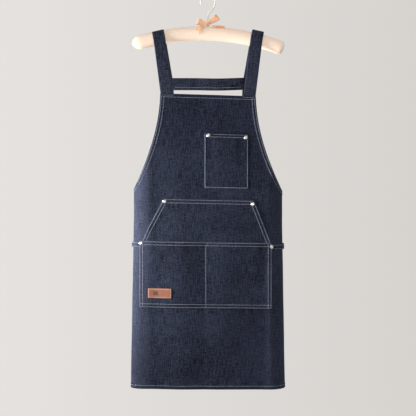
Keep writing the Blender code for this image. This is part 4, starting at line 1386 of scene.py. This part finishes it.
# Radius and rise above the cloth, in mm, from the dimple over the rolled rim to the back.
CAP_PROFILE = (
    (0.05, 0.90), (0.30, 0.92), (0.62, 1.10), (0.95, 1.55), (1.30, 2.00), (1.75, 2.32),
    (2.30, 2.42), (2.90, 2.28), (3.45, 1.92), (3.95, 1.38), (4.25, 1.10), (4.52, 1.00),
    (4.72, 0.78), (4.76, 0.45), (4.66, 0.12), (4.40, -0.30), (0.05, -0.30),
)
BACK_PROFILE = (
    (0.05, 0.55), (1.10, 0.58), (1.35, 0.88), (1.80, 1.02), (2.60, 0.98), (3.30, 0.84),
    (3.80, 0.62), (3.98, 0.34), (3.86, 0.05), (3.60, -0.20), (0.05, -0.20),
)


def make_rivets(pockets):
    bright = metal("nickel_bright", (225, 222, 216), 0.24, 900)
    dull = metal("nickel_backs", (205, 202, 196), 0.34, 700)
    for node in sorted(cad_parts):
        if not node.startswith("rivet_cap_"):
            continue
        low, high = node_box(node)
        x, z = (low[0] + high[0]) / 2, (low[2] + high[2]) / 2
        if abs(x) > 0.05:
            x = low[0] + RIVET_RADIUS * 0.9 if x < 0 else high[0] - RIVET_RADIUS * 0.9
        s, z = np.array([float(round_front(x, z))]), np.array([z])
        out = surface_normal(s, z)[0]
        front = pockets[node.split("_")[2]].place(s, z)[0]
        turned_piece(node, front, out, CAP_PROFILE, bright)
        inside = surface(s, z, -PANEL_HALF)[0]
        turned_piece(node.replace("cap", "back"), inside, -out, BACK_PROFILE, dull)


def turned_piece(node, base, out, profile, material):
    """A turned metal piece standing on the cloth at base, facing out."""
    first = unit(np.cross(out, (0.0, 0.0, 1.0)))
    sides = 40
    ring = circles(first, np.cross(first, out), sides)
    radius, rise = (np.array(profile) / 1000).T[:, :, None, None]
    points = (base + radius * ring[None] + rise * out).reshape(-1, 3)
    finish = ("apron", "nickel", material)
    add_piece(node + "_turned", points, tube_faces(len(profile), sides), finish, [node])


# ---------------------------------------------------------------- waist ties

TIE_WIDTH = 0.0125
TIE_HALF = 0.0007
TIE_LOOP_LENGTH = 0.105
TIE_LOOP_DROOP = (14, 86)  # degrees below level at the knot and at the tip


def make_waist_tie(name, side, pocket):
    z = node_box("waist_tie_" + name)[1][2] - TIE_WIDTH / 2
    knot_low, knot_high = node_box("tie_knot")
    start_x = abs(pocket.left(z) if side < 0 else pocket.right(z))
    first = abs(float(round_front(side * (start_x - 0.006), z)))
    last = float(round_back(WRAP_EDGE_X - 0.004, z))
    s = np.linspace(first, last, 60)
    share = np.linspace(-0.5, 0.5, 9)
    rise = CAD_HALF_CLOTH + 0.0008 + TIE_HALF + 0.0016 * smoothstep(s - first, 0.004, 0.03)
    level = z + 0.0008 * np.sin(s / 0.03)[:, None] - share[None, :] * TIE_WIDTH
    wrapped = surface(side * s[:, None], level, rise[:, None])
    end = wrapped[-1]
    knot = (knot_low + knot_high) / 2
    target_x = side * (knot_high[0] - knot_low[0]) / 2 * 0.8
    goal = np.stack([0 * share + target_x, 0 * share + knot[1], knot[2] - share * TIE_WIDTH * 0.7], axis=1)
    steps = np.linspace(0, 1, 24)[1:, None, None]
    bridge = end[None] + (goal - end)[None] * steps
    bridge[..., 2] -= 0.003 * np.sin(math.pi * steps[..., 0])
    middle = np.concatenate([wrapped, bridge])[:, ::-side]
    ribbon(f"waist_tie_{name}_cloth", middle, TIE_HALF, STRAP_DENIM)
    lines = [[(0.01, across), (0.98, across)] for across in (0.14, 0.86)]
    add_stitches(f"stitches_tie_{name}", strip_runs(middle, lines))


def drooped(points, first, last, length):
    """Bends a strip that runs along X downwards, from the first angle below level to the last."""
    steps = np.linspace(0, length, 200)
    angles = np.radians(first + (last - first) * steps / length)
    across = np.concatenate([[0], np.cumsum(np.cos(angles[1:])) * steps[1]])
    down = np.concatenate([[0], np.cumsum(np.sin(angles[1:])) * steps[1]])
    turn = np.interp(points[..., 0], steps, angles)
    x = np.interp(points[..., 0], steps, across) + points[..., 2] * np.sin(turn)
    z = points[..., 2] * np.cos(turn) - np.interp(points[..., 0], steps, down)
    return np.stack([x, points[..., 1], z], axis=-1)


def make_tie_loop(name, side, knot):
    path = teardrop(TIE_LOOP_LENGTH, 0.0078, 0.0012, 70)
    share = np.linspace(-0.5, 0.5, 9)
    middle = path[:, None] + np.zeros((1, len(share), 3))
    spread = 0.7 + 0.3 * smoothstep(path[:, 0], 0, 0.03)
    middle[..., 2] = share[None, :] * (TIE_WIDTH * spread)[:, None]
    wave = 0.0010 * np.sin(path[:, 0] / 0.012)
    middle[..., 1] += wave[:, None] + 0.0006 * np.cos(9 * share)[None, :]
    middle = drooped(middle, *TIE_LOOP_DROOP, TIE_LOOP_LENGTH)
    middle[..., 0] *= side
    loop = resample_grid(middle + (knot + (side * 0.0085, 0.0045, -0.0010)))
    ribbon(f"tie_loop_{name}_cloth", loop, TIE_HALF, STRAP_DENIM)
    lines = [[(0.02, across), (0.98, across)] for across in (0.16, 0.84)]
    add_stitches(f"stitches_tie_loop_{name}", strip_runs(loop, lines, (1, -1)))


def make_tie_end(name, side, knot):
    low, high = node_box("tie_end_" + name)
    down = np.linspace(0, 1, 110)
    x = (knot[0] + side * 0.0075) + side * (0.012 * down + 0.004 * np.sin(math.tau * down))
    y = (knot[1] - 0.0015) + 0.006 * np.sin(math.pi * down) + 0.0015 * np.sin(14 * down)
    path = np.stack([x, y, high[2] - (high[2] - low[2]) * down], axis=1)
    twist = 0.35 * np.sin(math.pi * down) * side
    width = np.stack([np.cos(twist), np.sin(twist), 0 * twist], axis=1) * TIE_WIDTH
    share = np.linspace(-0.5, 0.5, 9)
    middle = path[:, None] + width[:, None] * share[None, :, None]
    middle[..., 1] += 0.0004 * np.cos(9 * share)[None, :]
    ribbon(f"tie_end_{name}_cloth", middle, TIE_HALF, STRAP_DENIM)
    lines = [[(0.005, across), (0.99, across)] for across in (0.15, 0.85)]
    lines.append([(0.985, 0.2), (0.985, 0.8)])
    add_stitches(f"stitches_tie_end_{name}", strip_runs(middle, lines, (1, -1)))


def make_tie_bow():
    low, high = node_box("tie_knot")
    knot = (low + high) / 2
    make_knot("tie_knot_cloth", knot, (high - low) / 2, STRAP_DENIM, 3)
    for name, side in SIDES.items():
        make_tie_loop(name, side, knot)
        make_tie_end(name, side, knot)


def make_strap_stitches():
    """Box stitches that hold the straps' back ends to the wraps."""
    runs = []
    strap_low = node_box("strap_right")[0][2]
    x0, x1 = STRAP_BACK_X - 0.0115, STRAP_BACK_X + 0.0115
    z0, z1 = strap_low + 0.004, strap_low + 0.021
    corners = [(x0, z0), (x1, z0), (x1, z1), (x0, z1), (x0, z0), (x1, z1)]
    for side in SIDES.values():
        path = [(side * float(round_back(x, z)), z) for x, z in corners]
        runs += [panel_run(pair) for pair in zip(path[:-1], path[1:])]
    add_stitches("stitches_strap_ends", runs)


def finish_hidden_parts():
    """Materials of the CAD nodes that stay as they are, inside the hanger."""
    finishes = {
        "hanger_core": wood("core_wood"),
        "stem_washer": metal("zinc_washer", (176, 178, 182), 0.4, 500),
        "stem_nut": metal("zinc_nut", (170, 172, 176), 0.42, 500),
    }
    for name, material in finishes.items():
        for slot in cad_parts[name].material_slots:
            slot.material = material


# ---------------------------------------------------------------- main


def main():
    make_camera()
    make_world()
    make_lights()
    make_floor()
    make_apron_body()
    make_panel_stitches()
    chest, hand, lower = make_chest_pocket(), make_hand_pocket(), make_lower_pocket()
    make_label(lower)
    make_rivets({"chest": chest, "hand": hand, "lower": lower})
    for name, side in SIDES.items():
        make_strap(name, side)
    make_strap_stitches()
    make_back_band()
    for name, side in SIDES.items():
        make_waist_tie(name, side, lower)
    make_tie_bow()
    make_hook()
    make_hanger()
    make_bow()
    finish_hidden_parts()


main()
